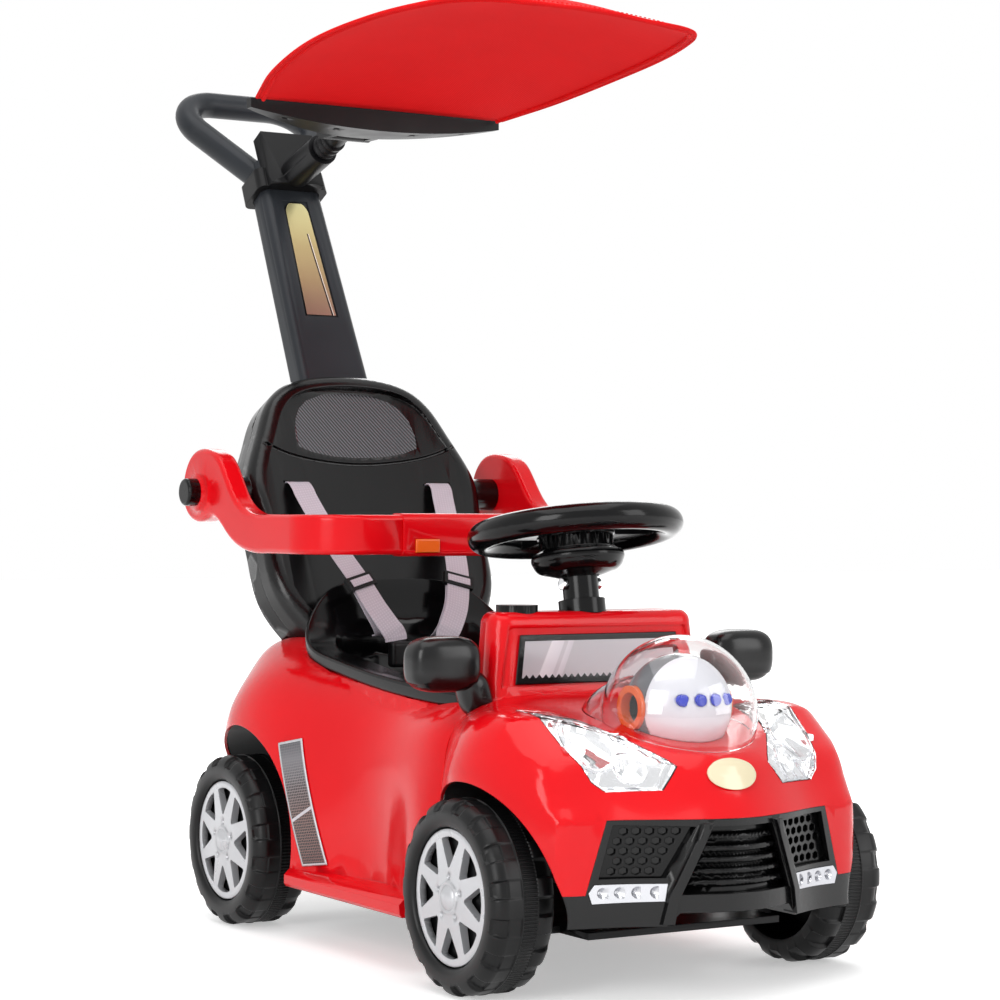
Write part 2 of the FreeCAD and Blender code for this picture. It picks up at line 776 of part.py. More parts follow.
def station_loft(stations, base, grow, deeper):
    ordered = sorted(stations, key=lambda station: -station[0])
    lines = [station_line(half, grow, deeper) for _, half in ordered]
    parameters = shared_parameters(lines)
    wires = []
    for (y, _), line in zip(ordered, lines):
        points = [(x, base + y, z) for x, z in line]
        foot = Part.makeLine(Vector(*points[-1]), Vector(*points[0]))
        wires.append(Part.Wire([spline(points, parameters), foot]))
    return Part.makeLoft(wires, True, False)


def prism(points, axis, start, end):
    """Extrudes a closed outline of flat points along x, y or z between two places."""
    if axis == "x":
        wire = polygon([(start, a, b) for a, b in points])
        way = Vector(end - start, 0, 0)
    elif axis == "y":
        wire = polygon([(a, start, b) for a, b in points])
        way = Vector(0, end - start, 0)
    else:
        wire = polygon([(a, b, start) for a, b in points])
        way = Vector(0, 0, end - start)
    return Part.Face(wire).extrude(way)


def nose_prism(grow):
    """Block that the front body stays inside: upright at the bumper, leaning back above it."""
    half = shifted([(x, front_y + y) for x, y in NOSE_PLAN], -grow)
    points = [(-x, y, 0) for x, y in reversed(half[1:])] + [(x, y, 0) for x, y in half]
    back = front_y + 160
    loop = [points[-1], (points[-1][0] + 20, back, 0), (points[0][0] - 20, back, 0), points[0]]
    edges = [spline(points)] + [Part.makeLine(Vector(*a), Vector(*b)) for a, b in zip(loop, loop[1:])]
    plan = Part.Wire(edges)
    leaning = []
    for z, back_by in NOSE_LEAN:
        wire = plan.copy()
        wire.translate(Vector(0, back_by, z))
        leaning.append(wire)
    base = Part.Face(plan).extrude(Vector(0, 0, NOSE_LEAN[0][0]))
    return base.fuse(Part.makeLoft(leaning, True, True))


def front_solid(grow, deeper=0):
    return station_loft(FRONT_STATIONS, front_y, grow, deeper).common(nose_prism(grow))


JOIN = (front_y + 104.5 - rear_y, FRONT_STATIONS[0][1])


def rear_solid(grow, deeper=0):
    stations = [JOIN] + REAR_STATIONS
    if grow < 0:
        y, half = stations[-1]
        stations = stations[:-1] + [(y + grow, half)]
    return station_loft(stations, rear_y, grow, deeper)


SCUTTLE_LOW = [(-104, 128), (-126, 70), (126, 70), (104, 128)]
SCUTTLE_TOP = [(-96, 126), (-113, 76), (113, 76), (96, 126)]
SCUTTLE_ROUND = 11


def rounded(points, radius, z):
    """Closed outline at a height with its corners rounded."""
    edges = []
    ends = []
    count = len(points)
    for i in range(count):
        here = Vector(*points[i], z)
        before = (Vector(*points[i - 1], z) - here).normalize()
        after = (Vector(*points[(i + 1) % count], z) - here).normalize()
        half = before.getAngle(after) / 2
        run = radius / math.tan(half)
        start = here + before * run
        end = here + after * run
        heart = here + (before + after).normalize() * (radius / math.sin(half))
        middle = heart + (here - heart).normalize() * radius
        ends.append((start, middle, end))
    for i in range(count):
        start, middle, end = ends[i]
        edges.append(Part.Arc(start, middle, end).toShape())
        edges.append(Part.makeLine(end, ends[(i + 1) % count][0]))
    return Part.Wire(edges)


def scuttle_solid(grow):
    """Upright box behind the bonnet that carries the windscreen and the column, rounded on top."""
    high = number("scuttle_height") + grow
    wires = []
    for points, z in ((SCUTTLE_LOW, 190), (SCUTTLE_TOP, high)):
        wide = [
            (x + grow * math.copysign(1, x), front_y + y + (grow if y > 100 else -grow))
            for x, y in points
        ]
        wires.append(rounded(wide, 16, z))
    block = Part.makeLoft(wires, True, True)
    return block.makeFillet(SCUTTLE_ROUND, [edge for edge in block.Edges if edge.BoundBox.ZMin > high - 1])


# Seat opening in plan, measured from the rear axle, and the line of its rim seen from the side.
SEAT_PLAN = [
    (0.88, -311.5), (0.95, -262), (1.0, -160), (1.01, -70), (0.95, -24), (0.68, 0), (0.33, 7), (0, 8)
]
RIM_LINE = [
    (-330, 229), (-262, 232), (-160, 241), (-90, 250), (-40, 262), (-12, 285), (14, 326), (40, 345)
]


def seat_wire(grow, z):
    half = [(-f * seat_half, rear_y + y) for f, y in SEAT_PLAN]
    line = half + [(-x, y) for x, y in reversed(half[:-1])]
    line = shifted(line, grow)
    front = rear_y + SEAT_PLAN[0][1] - grow
    line[0] = (line[0][0], front)
    line[-1] = (line[-1][0], front)
    points = [(x, y, z) for x, y in line]
    return Part.Wire([spline(points), Part.makeLine(Vector(*points[-1]), Vector(*points[0]))])


def seat_block(grow, low, high):
    return Part.Face(seat_wire(grow, low)).extrude(Vector(0, 0, high - low))


def under_line(line, low, drop=0):
    """Everything below a line seen from the side, down to a level."""
    points = [(-300, rear_y + y, z - drop) for y, z in line]
    first, last = points[0], points[-1]
    loop = [last, (-300, last[1], low), (-300, first[1], low), first]
    edges = [spline(points)] + [Part.makeLine(Vector(*a), Vector(*b)) for a, b in zip(loop, loop[1:])]
    return Part.Face(Part.Wire(edges)).extrude(Vector(600, 0, 0))


def arch(axle_y, rise, radius, side):
    """Round of a wheel arch through one side of the body."""
    centre = Vector(side * 104, axle_y, number("tyre_radius") + rise)
    return Part.makeCylinder(radius, 120, centre, Vector(side, 0, 0))


arch_radius = number("tyre_radius + arch_gap")
front_arches = [arch(front_y + 5, -10, arch_radius, side) for _, side in SIDES]
rear_arches = [arch(rear_y + 3, 6, arch_radius, side) for _, side in SIDES]

# Backrest, drawn upright about its foot and then leaned back.
BACK_HALF = [
    (0.70, -22), (0.72, 20), (0.86, 50), (0.95, 80), (0.965, 120), (0.98, 160), (1.0, 190), (0.94, 222),
    (0.83, 255), (0.735, 282), (0.57, 306), (0.29, 319), (0, 322),
]
back_lean = math.radians(number("backrest_lean"))
back_half = number("backrest_half")
back_depth = number("backrest_thickness")
back_height = number("backrest_top") - 262
back_stretch = back_height / math.cos(back_lean) / 322
back_place = FreeCAD.Placement(
    Vector(0, rear_y - 8.5, 262), FreeCAD.Rotation(Vector(1, 0, 0), -number("backrest_lean"))
)


def back_slab(grow, front, rear):
    """Plain backrest outline between two depths, leaned back in place."""
    half = [(-f * back_half, t * back_stretch) for f, t in BACK_HALF]
    line = shifted(half + [(-x, t) for x, t in reversed(half[:-1])], grow)
    points = [(x, front, t) for x, t in line]
    wire = Part.Wire([spline(points), Part.makeLine(Vector(*points[-1]), Vector(*points[0]))])
    return Part.Face(wire).extrude(Vector(0, rear - front, 0))


def leaned(shape):
    moved = shape.copy()
    moved.Placement = back_place.multiply(moved.Placement)
    return moved


scuttle_clear = scuttle_solid(gap)
# The seat's rolled rim: how far it stands above its line, and how far it lies out over the body's edge.
ROLL_HIGH = 15
ROLL_WIDE = 9
collar_block = seat_block(8, sill + 150, 360).common(under_line(RIM_LINE, sill + 140, -1))
collar_block = collar_block.cut(scuttle_clear)
seat_cut = seat_block(gap, sill + 100, 380)
back_cut = leaned(back_slab(gap, -gap, back_depth + gap))
SILL_OUTLINE = [(120, 0), (184, 0), (186, 3), (186, 11), (181, 16), (120, 16)]
sill_start = front_y + 104.5
sill_end = rear_y - 107

inner_rear = rear_solid(-wall, 40)
rear_shell = rear_solid(0).fuse(collar_block)
for _, side in SIDES:
    outline = [(side * x, sill + z) for x, z in SILL_OUTLINE]
    rear_shell = rear_shell.fuse(prism(outline, "y", sill_start, sill_end))
rear_shell = rear_shell.cut(inner_rear)
for tool in rear_arches + front_arches + [seat_cut, back_cut]:
    rear_shell = rear_shell.cut(tool)
rear_shell = rear_shell.cut(Part.makeBox(600, 400, 400, Vector(-300, front_y + 104.5 + gap - 400, 0)))
rear_shell = rear_shell.cut(scuttle_clear)
roll_room = seat_block(ROLL_WIDE + gap, sill + 150, 420).cut(under_line(RIM_LINE, sill + 130, -1))
rear_shell = rear_shell.cut(roll_room)
keep(feature("rear_body", rear_shell), "rear_body")

# Bumper outline seen from the front.
BUMPER_OUTLINE = [
    (-113, 154),
    (113, 154),
    (126, 110),
    (131, 93),
    (158, 93),
    (153, 66),
    (66, 66),
    (56, 77),
    (-56, 77),
    (-66, 66),
    (-153, 66),
    (-158, 93),
    (-131, 93),
    (-126, 110),
]
LAMP_OUTLINE = [
    (62, 177), (47, 196), (53, 202), (81, 222), (106, 243), (134, 243), (129, 213), (117, 184), (107, 176)
]
LAMP_REAR = 2


def grown(points, grow):
    """A closed outline with each corner moved away from its centre."""
    cx = sum(x for x, _ in points) / len(points)
    cz = sum(z for _, z in points) / len(points)
    moved = []
    for x, z in points:
        size = math.hypot(x - cx, z - cz)
        moved.append((x + grow * (x - cx) / size, z + grow * (z - cz) / size))
    return moved


def mirrored(points, side):
    return [(side * x, z) for x, z in points]


nose_y = front_y - 165
bumper_block = prism(BUMPER_OUTLINE, "y", nose_y, front_y - 75)
bumper_cut = prism(grown(BUMPER_OUTLINE, gap), "y", nose_y, front_y - 75 + gap)
lamp_rear = front_y + LAMP_REAR
lamp_blocks = [prism(mirrored(LAMP_OUTLINE, side), "y", nose_y, lamp_rear) for _, side in SIDES]
lamp_cuts = [
    prism(mirrored(grown(LAMP_OUTLINE, gap), side), "y", nose_y, lamp_rear + gap) for _, side in SIDES
]
SCREEN_OUTLINE = [(-103, 252), (103, 252), (95, 304), (-95, 304)]
screen_cut = prism(grown(SCREEN_OUTLINE, gap), "y", front_y + 40, front_y + 90)
screen_block = prism(SCREEN_OUTLINE, "y", front_y + 40, front_y + 90)

front_full = front_solid(0)
scuttle = scuttle_solid(0)
inner_front = front_solid(-wall, 60).fuse(scuttle_solid(-wall))
inner_front = inner_front.fuse(Part.makeBox(180, 40, 150, Vector(-90, front_y + 90, 60)))
front_shell = front_full.fuse(scuttle).cut(inner_front)
boss_half = 85
for _, side in SIDES:
    boss = Part.makeCylinder(
        9, 230 - number(BEAM_TOP), Vector(side * boss_half, front_y, number(BEAM_TOP))
    )
    front_shell = front_shell.fuse(boss.common(front_full))
for tool in front_arches:
    front_shell = front_shell.cut(tool)
front_shell = front_shell.cut(bumper_cut)
lamp_room = front_full.cut(front_solid(-wall - 14))
for tool in lamp_cuts:
    front_shell = front_shell.cut(tool.common(lamp_room))
screen_room = scuttle_solid(6).cut(scuttle_solid(-1.6))
front_shell = front_shell.cut(screen_cut.common(screen_room))
front_shell = front_shell.cut(
    Part.makeBox(600, 400, 400, Vector(-300, front_y + 104.5, 0)).cut(scuttle_solid(0))
)
collar_well = Part.makeCylinder(
    number("sleeve_radius") + 5 + gap, 60, hub_centre + column_way * (number(COLLAR_LOW) - 1), column_way
)
light_well = Part.makeCylinder(
    number("light_radius") + gap, 60, Vector(-72, front_y + 100, number("scuttle_height") - 40)
)
light_room = Part.makeCylinder(
    number("light_radius") + 2 + gap,
    40,
    Vector(-72, front_y + 100, number("scuttle_height") - wall - 40),
)
sleeve_well = Part.makeCylinder(
    number("sleeve_radius") + gap, 60, hub_centre + column_way * (number(SLEEVE_LOW) - 1), column_way
)
front_shell = front_shell.cut(collar_well).cut(sleeve_well).cut(light_well).cut(light_room)
keep(feature("front_body", front_shell), "front_body")


# Seat pan with a rolled rim that lies on the body's edge, and a dish for sitting in.
FLOOR_LINE = [(y, z - number("seat_depth")) for y, z in RIM_LINE]
seat_low = sill + 152
dish_side = number("seat_rim")
seat_solid = seat_block(0, seat_low, 380).common(under_line(RIM_LINE, seat_low - 20, 4 - ROLL_HIGH))
dish = seat_block(-dish_side, seat_low - 10, 380).cut(under_line(FLOOR_LINE, seat_low - 20))
under = seat_block(-4, seat_low - 10, 380).common(under_line(FLOOR_LINE, seat_low - 20, 4))
roll = seat_block(ROLL_WIDE, seat_low, 420).common(under_line(RIM_LINE, seat_low - 20, -ROLL_HIGH))
roll = roll.cut(under_line(RIM_LINE, seat_low - 40, -1 - gap))
roll_edge = [edge for edge in roll.Edges if edge.Length > 300]
roll = roll.makeFillet(3, roll_edge)
seat_solid = seat_solid.fuse(roll).cut(dish).cut(under)
seat_solid = seat_solid.cut(back_cut).cut(scuttle_clear)
keep(feature("seat", seat_solid), "seat")

# Push handle: tapered pole, fork and closed loop in one moulding.
pole_lean = math.radians(number("pole_lean"))
pole_way = Vector(0, math.sin(pole_lean), math.cos(pole_lean))
pole_face = Vector(0, -math.cos(pole_lean), math.sin(pole_lean))
pole_run = (number("pole_top_height") - number("pole_foot_height")) / math.cos(pole_lean)
pole_foot = Vector(0, rear_y + 123, number("pole_foot_height"))
pole_depth = number("pole_depth")
LEG_DEPTH = 22


def pole_point(x, front, along):
    """A place on the pole: across, out of its front face from the axis, and along it from the foot."""
    return pole_foot + Vector(x, 0, 0) + pole_face * front + pole_way * along


def pole_width(along):
    share = along / pole_run
    return number("pole_width_low") * (1 - share) + number("pole_width_top") * share


def pole_outline(along, grow, radius=9):
    """Rounded rectangle across the pole at a place along it."""
    half = pole_width(along) / 2 + grow
    deep = pole_depth / 2 + grow
    flat = rounded([(-half, -deep), (half, -deep), (half, deep), (-half, deep)], radius, 0)
    turn = FreeCAD.Rotation(Vector(1, 0, 0), -number("pole_lean"))
    flat.Placement = FreeCAD.Placement(pole_point(0, 0, along), turn)
    return flat


def pole_block(start, end, grow):
    return Part.makeLoft([pole_outline(start, grow), pole_outline(end, grow)], True, True)


def loop_wire():
    """Path of the grip tube: two legs out of the pole and a rear bar, rounded at the corners."""
    tube = number("loop_tube")
    start = pole_point(0, 0, pole_run - LEG_DEPTH)
    rear = Vector(0, number("overall_length") / 2 - tube, number("loop_height"))
    rise = rear - start
    reach = rise.Length
    rise = rise.normalize()
    half = number("loop_half")

    def at(x, v):
        return start + Vector(x, 0, 0) + rise * v

    foot = 19
    corner = Vector(half + 12, reach, 0)
    leg = (Vector(foot, 0, 0) - corner).normalize()
    bend = 40
    opening = leg.getAngle(Vector(-1, 0, 0)) / 2
    run = bend / math.tan(opening)
    first = corner + leg * run
    second = corner + Vector(-run, 0, 0)
    heart = corner + (leg + Vector(-1, 0, 0)).normalize() * (bend / math.sin(opening))
    middle = heart + (corner - heart).normalize() * bend
    right = [at(-foot, 0), at(-first.x, first.y), at(-middle.x, middle.y), at(-second.x, second.y)]
    left = [at(second.x, second.y), at(middle.x, middle.y), at(first.x, first.y), at(foot, 0)]
    return Part.Wire([
        Part.makeLine(right[0], right[1]),
        Part.Arc(right[1], right[2], right[3]).toShape(),
        Part.makeLine(right[3], left[0]),
        Part.Arc(left[0], left[1], left[2]).toShape(),
        Part.makeLine(left[2], left[3]),
    ])


path = loop_wire()
first_edge = path.Edges[0]
mouth = Part.Wire(
    Part.makeCircle(
        number("loop_tube"),
        first_edge.valueAt(first_edge.FirstParameter),
        first_edge.tangentAt(first_edge.FirstParameter),
    )
)
loop = path.makePipeShell([mouth], True, False)
LABEL_LOW, LABEL_TOP = 158, 306
label_points = [(-20, LABEL_LOW), (20, LABEL_LOW), (15, LABEL_TOP), (-15, LABEL_TOP)]


def label_block(grow, back, out):
    """Flat tapered plate on the front of the pole."""
    shape = grown(label_points, grow)
    wire = Part.makePolygon([pole_point(x, back, t) for x, t in shape + shape[:1]])
    return Part.Face(wire).extrude(pole_face * (out - back))


pole = pole_block(0, pole_run, 0)
handle = pole.fuse(loop)
handle = handle.cut(label_block(gap, pole_depth / 2 - 1.8, pole_depth / 2 + 5))
keep(feature("handle", handle), "handle")
keep(feature("handle_label", label_block(0, pole_depth / 2 - 1.8, pole_depth / 2 - 0.3)), "handle_label")

# Guard rail places, shared with the pivot posts on the backrest.
pivot = Vector(0, rear_y + number("guard_pivot_offset"), number("guard_pivot_height"))
guard_half = number("guard_half")
guard_thick = number("guard_thickness")
guard_high = number("guard_height")
guard_mid = pivot.z - number("guard_drop")
guard_front = pivot.y - number("guard_reach")
guard_bend = number("guard_corner")
guard_seam = number("guard_seam")
BOSS = 5


def pivot_post(side):
    """Post on the side of the backrest with the pin that the guard arm turns on."""
    inner = guard_half - guard_thick - gap
    post = Part.makeCylinder(17, inner - 110, Vector(side * 110, pivot.y, pivot.z), Vector(side, 0, 0))
    start = Vector(side * 110, pivot.y, pivot.z)
    pin = Part.makeCylinder(
        number("guard_pin_radius"), guard_half + BOSS - 1 - 110, start, Vector(side, 0, 0)
    )
    return post.fuse(pin)


# Backrest in two halves, dished in front, with a socket for the pole.
dish_depth = 12
dish_wide = 112
dish_radius = (dish_wide ** 2 + dish_depth ** 2) / (2 * dish_depth)
back_dish = Part.makeCylinder(
    dish_radius, 700, Vector(0, dish_depth - dish_radius, -100), Vector(0, 0, 1)
)
SPLIT = 30
pole_socket = pole_block(-6, pole_run * 0.6, gap)
RIM_WIDE, RIM_ROUND = 17, 16
back_dish = back_dish.common(back_slab(-RIM_WIDE, -40, SPLIT))
front_face = back_slab(0, 0, SPLIT)
front_face = front_face.makeFillet(
    RIM_ROUND, [edge for edge in front_face.Edges if edge.CenterOfMass.y < 0.1 and edge.Length > 300]
)
front_half = leaned(front_face.cut(back_dish).cut(back_slab(-5, 18, SPLIT).common(
    Part.makeBox(400, 100, 238, Vector(-200, 0, -17)))))
rear_half = leaned(back_slab(0, SPLIT, back_depth).cut(back_slab(-5, SPLIT, back_depth - 4).common(
    Part.makeBox(400, 100, 238, Vector(-200, 0, -17)))))
PLATE_HALF = [
    (0, 226), (30, 227), (55, 231), (70, 236), (72, 248), (68, 268), (61, 281), (50, 291), (30, 299), (0, 302)
]
plate_points = PLATE_HALF + [(-x, t) for x, t in reversed(PLATE_HALF[1:-1])]
groove_path = [(-128, 246), (-90, 228), (-40, 220), (0, 218), (40, 220), (90, 228), (128, 246)]


def plate_block(grow, deep, out):
    block = prism(grown(plate_points, grow), "y", -30, 60)
    skin = Part.makeCylinder(
        dish_radius + deep, 700, Vector(0, dish_depth - dish_radius, -100), Vector(0, 0, 1)
    )
    return leaned(
        block.common(
            skin.cut(
                Part.makeCylinder(
                    dish_radius + out, 700, Vector(0, dish_depth - dish_radius, -100), Vector(0, 0, 1)
                )
            )
        )
    )


groove_wire = Part.Wire(
    [spline([(x, dish_depth + 1 - x * x / (2 * dish_radius), t) for x, t in groove_path])]
)
groove_edge = groove_wire.Edges[0]
groove_ring = Part.Wire(
    Part.makeCircle(
        2.2,
        groove_edge.valueAt(groove_edge.FirstParameter),
        groove_edge.tangentAt(groove_edge.FirstParameter),
    )
)
groove = leaned(groove_wire.makePipeShell([groove_ring], True, False))
collar_clear = seat_block(8 + gap, sill, 400).common(under_line(RIM_LINE, sill - 10, -1 - gap))
STRAP_WIDE, STRAP_THICK = 25, 1.4
SLOT_WIDE, SLOT_HIGH = STRAP_WIDE + 5, 3
slot_half = 84
slot_up = 191.5
slots = [
    leaned(
        Part.makeBox(SLOT_WIDE, 60, SLOT_HIGH, Vector(side * slot_half - SLOT_WIDE / 2, -20, slot_up))
    )
    for _, side in SIDES
]
front_half = front_half.cut(pole_socket).cut(plate_block(gap, 1.6, -20)).cut(groove).cut(collar_clear)
rear_half = rear_half.cut(pole_socket).cut(collar_clear)
for tool in slots:
    front_half = front_half.cut(tool)
for _, side in SIDES:
    post = pivot_post(side).cut(rear_half)
    front_half = front_half.fuse(max(post.Solids, key=lambda solid: abs(solid.BoundBox.Center.x)))
keep(feature("backrest", front_half), "backrest")
keep(feature("backrest_rear", rear_half), "backrest_rear")
keep(feature("backrest_plate", plate_block(0, 1.6, 0.2)), "backrest_plate")


# Chassis floor under the whole car, with bearings for the kingpins and the column.
floor_body = document.addObject("PartDesign::Body", "floor_body")
floor_sketch = sketch_on(floor_body, "XY_Plane", "floor_outline", "sill_height - 2")
floor_half_line = [
    ("floor_half", f"{FRONT_Y} - 62"),
    ("floor_half", f"{FRONT_Y} - 17"),
    ("kingpin_half + 14", f"{FRONT_Y} - 17"),
    ("kingpin_half + 14", f"{FRONT_Y} + 17"),
    ("floor_half", f"{FRONT_Y} + 17"),
    ("floor_half", f"{FRONT_Y} + 112"),
    ("floor_half + 19", f"{FRONT_Y} + 112"),
    ("floor_half + 19", f"{REAR_Y} - 112"),
    ("floor_half", f"{REAR_Y} - 112"),
    ("floor_half", f"{REAR_Y} + 70"),
]
trace(floor_sketch, floor_half_line + [(f"-({x})", y) for x, y in reversed(floor_half_line)])
floor_pad = floor_body.newObject("PartDesign::Pad", "floor_pad")
floor_pad.Profile = floor_sketch
bind(floor_pad, Length="floor_thickness")
floor_holes = [
    cylinder(
        f"floor_kingpin_{word}",
        "kingpin_radius + running_gap",
        "floor_thickness * 3",
        (f"{side} * kingpin_half", FRONT_Y, "sill_height - 8"),
    )
    for word, side in SIDES
]
floor_holes.append(
    column_cylinder(
        "floor_column", "axle_radius + running_gap", f"{COLUMN_FOOT} - 10", f"{COLUMN_FOOT} + 20"
    )
)
floor_holes.append(carrier_bore)
floor_solid = fuse("floor_with_carrier", [floor_body] + carrier_parts)
keep(cut("chassis_floor", floor_solid, fuse("floor_bearings", floor_holes)), "chassis_floor")

# Black liners inside the wheel arches.
LINER = 2.5


def liner(axle_y, rise, radius, inside, wall_in=0):
    """Curved lining over one pair of wheels, trimmed to the inside of the body, with its inner wall if asked."""
    pieces = []
    for _, side in SIDES:
        outer = arch(axle_y, rise, radius + LINER + 1, side)
        room = arch(axle_y, rise, radius + 1, side)
        room.translate(Vector(side * wall_in, 0, 0))
        pieces.append(outer.cut(room).common(inside))
    return Part.makeCompound(pieces)


front_inside = front_solid(-wall - gap)
rear_inside = rear_solid(-wall - gap)
above = Part.makeBox(600, 1200, 300, Vector(-300, -600, sill + 60))
front_lining = liner(front_y + 5, -10, arch_radius, front_inside.common(above).cut(bumper_cut))
rear_lining = liner(rear_y + 3, 6, arch_radius, rear_inside.common(above).cut(back_cut), LINER)
keep(feature("wheel_liners", Part.makeCompound([front_lining, rear_lining])), "wheel_liners")

# Nose: bumper with fins, grilles, slats and lamp bars.
GRILLE_OUTLINE = [(44, 148), (108, 150), (120, 106), (67, 106)]
BAR_OUTLINE = [(68, 87), (66, 101.5), (124, 101.5), (129, 95), (126, 86)]
CENTRE_OUTLINE = [(-31, 148), (31, 148), (56, 92), (-56, 92)]
FIN_OUTLINE = [(32, 151), (40, 151), (67, 90), (72, 68), (63, 68), (59, 90)]
BAR_CELLS, CELL_PITCH, CELL_RADIUS = 4, 14, 5


def nose_layer(points, deep, out, side=1):
    """An outline seen from the front, as a layer that follows the nose between two depths."""
    block = prism(mirrored(points, side), "y", nose_y - 20, front_y - 60)
    return block.common(nose_prism(out)).cut(nose_prism(deep))


bumper = bumper_block.common(nose_prism(0)).cut(
    prism(
        [(-120, 145), (120, 145), (140, 100), (140, 70), (-140, 70), (-140, 100)],
        "y",
        front_y - 95,
        front_y - 60,
    ).common(nose_prism(-14))
)
for tool in front_arches:
    bumper = bumper.cut(tool)
for _, side in SIDES:
    bumper = bumper.cut(nose_layer(GRILLE_OUTLINE, -9, 30, side))
    bumper = bumper.cut(nose_layer(grown(BAR_OUTLINE, gap), -6, 30, side))
bumper = bumper.cut(nose_layer(CENTRE_OUTLINE, -11, 30))
for _, side in SIDES:
    bumper = bumper.fuse(nose_layer(FIN_OUTLINE, -12, 5, side))
keep(feature("front_bumper", bumper), "front_bumper")


def honeycomb(side):
    """Grille panel with rows of six-sided cells."""
    panel = nose_layer(grown(GRILLE_OUTLINE, -gap), -9, -6, side)
    cells = []
    pitch = 10
    for row in range(5):
        for step in range(9):
            x = 46 + pitch * (step + 0.5 * (row % 2))
            z = 111.5 + row * pitch * 0.82
            cell = [
                (x + 4.2 * math.sin(math.pi * k / 3), z + 3.4 * math.cos(math.pi * k / 3))
                for k in range(6)
            ]
            inside = 50 + (148 - z) * 0.55 < x < 114 - (z - 106) * 0.27
            if inside:
                cells.append(prism(mirrored(cell, side), "y", nose_y - 20, front_y - 60))
    return panel.cut(Part.makeCompound(cells))


slats = []
SLAT_PITCH = 9.5
for k in range(5):
    z = 139 - SLAT_PITCH * k
    half = 31 + (148 - z) * 0.43 - 1.5
    slats.append(
        nose_layer([(-half, z - 2.2), (half, z - 2.2), (half, z + 2.2), (-half, z + 2.2)], -11, -3)
    )
centre_panel = nose_layer(grown(CENTRE_OUTLINE, -gap), -11, -9)
grilles = [honeycomb(side) for _, side in SIDES] + [centre_panel.multiFuse(slats)]
keep(feature("bumper_grilles", Part.makeCompound(grilles)), "bumper_grilles")


def plan_at(x):
    """Place of the nose's plan line at a distance from the middle."""
    for (xa, ya), (xb, yb) in zip(NOSE_PLAN, NOSE_PLAN[1:]):
        if xa <= x <= xb:
            return ya + (yb - ya) * (x - xa) / (xb - xa)
    return NOSE_PLAN[-1][1]


def lamp_bar(side):
    """Bumper lamp bar with a row of cone-shaped cells."""
    bar = nose_layer(BAR_OUTLINE, -6, 0.8, side)
    for k in range(BAR_CELLS):
        x = 97 + CELL_PITCH * (k - (BAR_CELLS - 1) / 2)
        y = front_y + plan_at(x)
        bar = bar.cut(
            Part.makeCone(CELL_RADIUS + 1, 1, 6, Vector(side * x, y - 2, 94.5), Vector(0, 1, 0))
        )
    return bar


keep(feature("bumper_lamps", Part.makeCompound([lamp_bar(side) for _, side in SIDES])), "bumper_lamps")

# Headlamps: reflector with bowls and bulbs behind a clear lens flush with the body.
lens_room = front_solid(0.6).cut(front_solid(-2))
bowl_room = front_solid(-wall - 9).cut(front_solid(-wall - 14 + gap))
lenses, reflectors = [], []
for block, (_, side) in zip(lamp_blocks, SIDES):
    lenses.append(block.common(lens_room))
    inset = prism(mirrored(grown(LAMP_OUTLINE, -gap), side), "y", nose_y, lamp_rear)
    reflectors.append(inset.common(bowl_room))
keep(feature("headlamp_lenses", Part.makeCompound(lenses)), "headlamp_lenses")
keep(feature("headlamp_reflectors", Part.makeCompound(reflectors)), "headlamp_reflectors")

# Clear dome on the bonnet over a lamp pod.
def egg(centre, radii):
    """Ellipsoid with three radii."""
    ball = Part.makeSphere(1)
    stretch = FreeCAD.Matrix()
    stretch.scale(*radii)
    shape = ball.transformGeometry(stretch)
    shape.translate(Vector(*centre))
    return shape


dome_y = front_y - 51
DOME_WALL = 2.2


def dome_form(grow):
    bubble = egg((0, dome_y, 233), (69 + grow, 65 + grow, 69 + grow))
    tail = egg((0, dome_y + 40, 222), (66 + grow, 66 + grow, 44 + grow))
    return bubble.fuse(tail)


bonnet = front_solid(0.15).fuse(scuttle_solid(0.15))
dome = dome_form(0).cut(dome_form(-DOME_WALL)).cut(bonnet)
dome = max(dome.Solids, key=lambda solid: solid.Volume)
keep(feature("dome_cover", dome), "dome_cover")
pod_y = dome_y + 2
pod_whole = egg((0, pod_y, 240), (47, 45, 46)).cut(bonnet)
face_at = Part.makeBox(200, 100, 200, Vector(-100, pod_y - 100 - 14, 180))
pod_room = egg((0, pod_y, 240), (44, 42, 43))
diffuser = pod_whole.common(face_at)
pod = pod_whole.cut(face_at).cut(pod_room.cut(Part.makeBox(200, 100, 60, Vector(-100, pod_y - 50, 170))))
RING_X = 45
rings = []
for _, side in SIDES:
    ring_out = Part.makeCylinder(19, 9, Vector(side * (RING_X - 6), pod_y + 4, 240), Vector(side, 0, 0))
    ring_in = Part.makeCylinder(13, 9, Vector(side * (RING_X - 6), pod_y + 4, 240), Vector(side, 0, 0))
    rings.append(ring_out.cut(ring_in).cut(bonnet))
    pod = pod.cut(ring_out)
    diffuser = diffuser.cut(ring_out)
LED_COUNT, LED_PITCH, LED_RADIUS = 4, 15, 5
leds = []
for k in range(LED_COUNT):
    x = (k - (LED_COUNT - 1) / 2) * LED_PITCH
    depth = 45 * math.sqrt(1 - (x / 47) ** 2 - (8 / 46) ** 2)
    lens_ball = Part.makeCylinder(LED_RADIUS, 8, Vector(x, pod_y - depth - 2, 248), Vector(0, 1, 0))
    leds.append(lens_ball.cut(Part.makeBox(60, 40, 60, Vector(-30, pod_y - 14, 220))))
    diffuser = diffuser.cut(lens_ball)
keep(feature("lamp_pod", pod), "lamp_pod")
keep(feature("lamp_diffuser", diffuser), "lamp_diffuser")
keep(feature("lamp_leds", Part.makeCompound(leds)), "lamp_leds")
keep(feature("lamp_rings", Part.makeCompound(rings)), "lamp_rings")
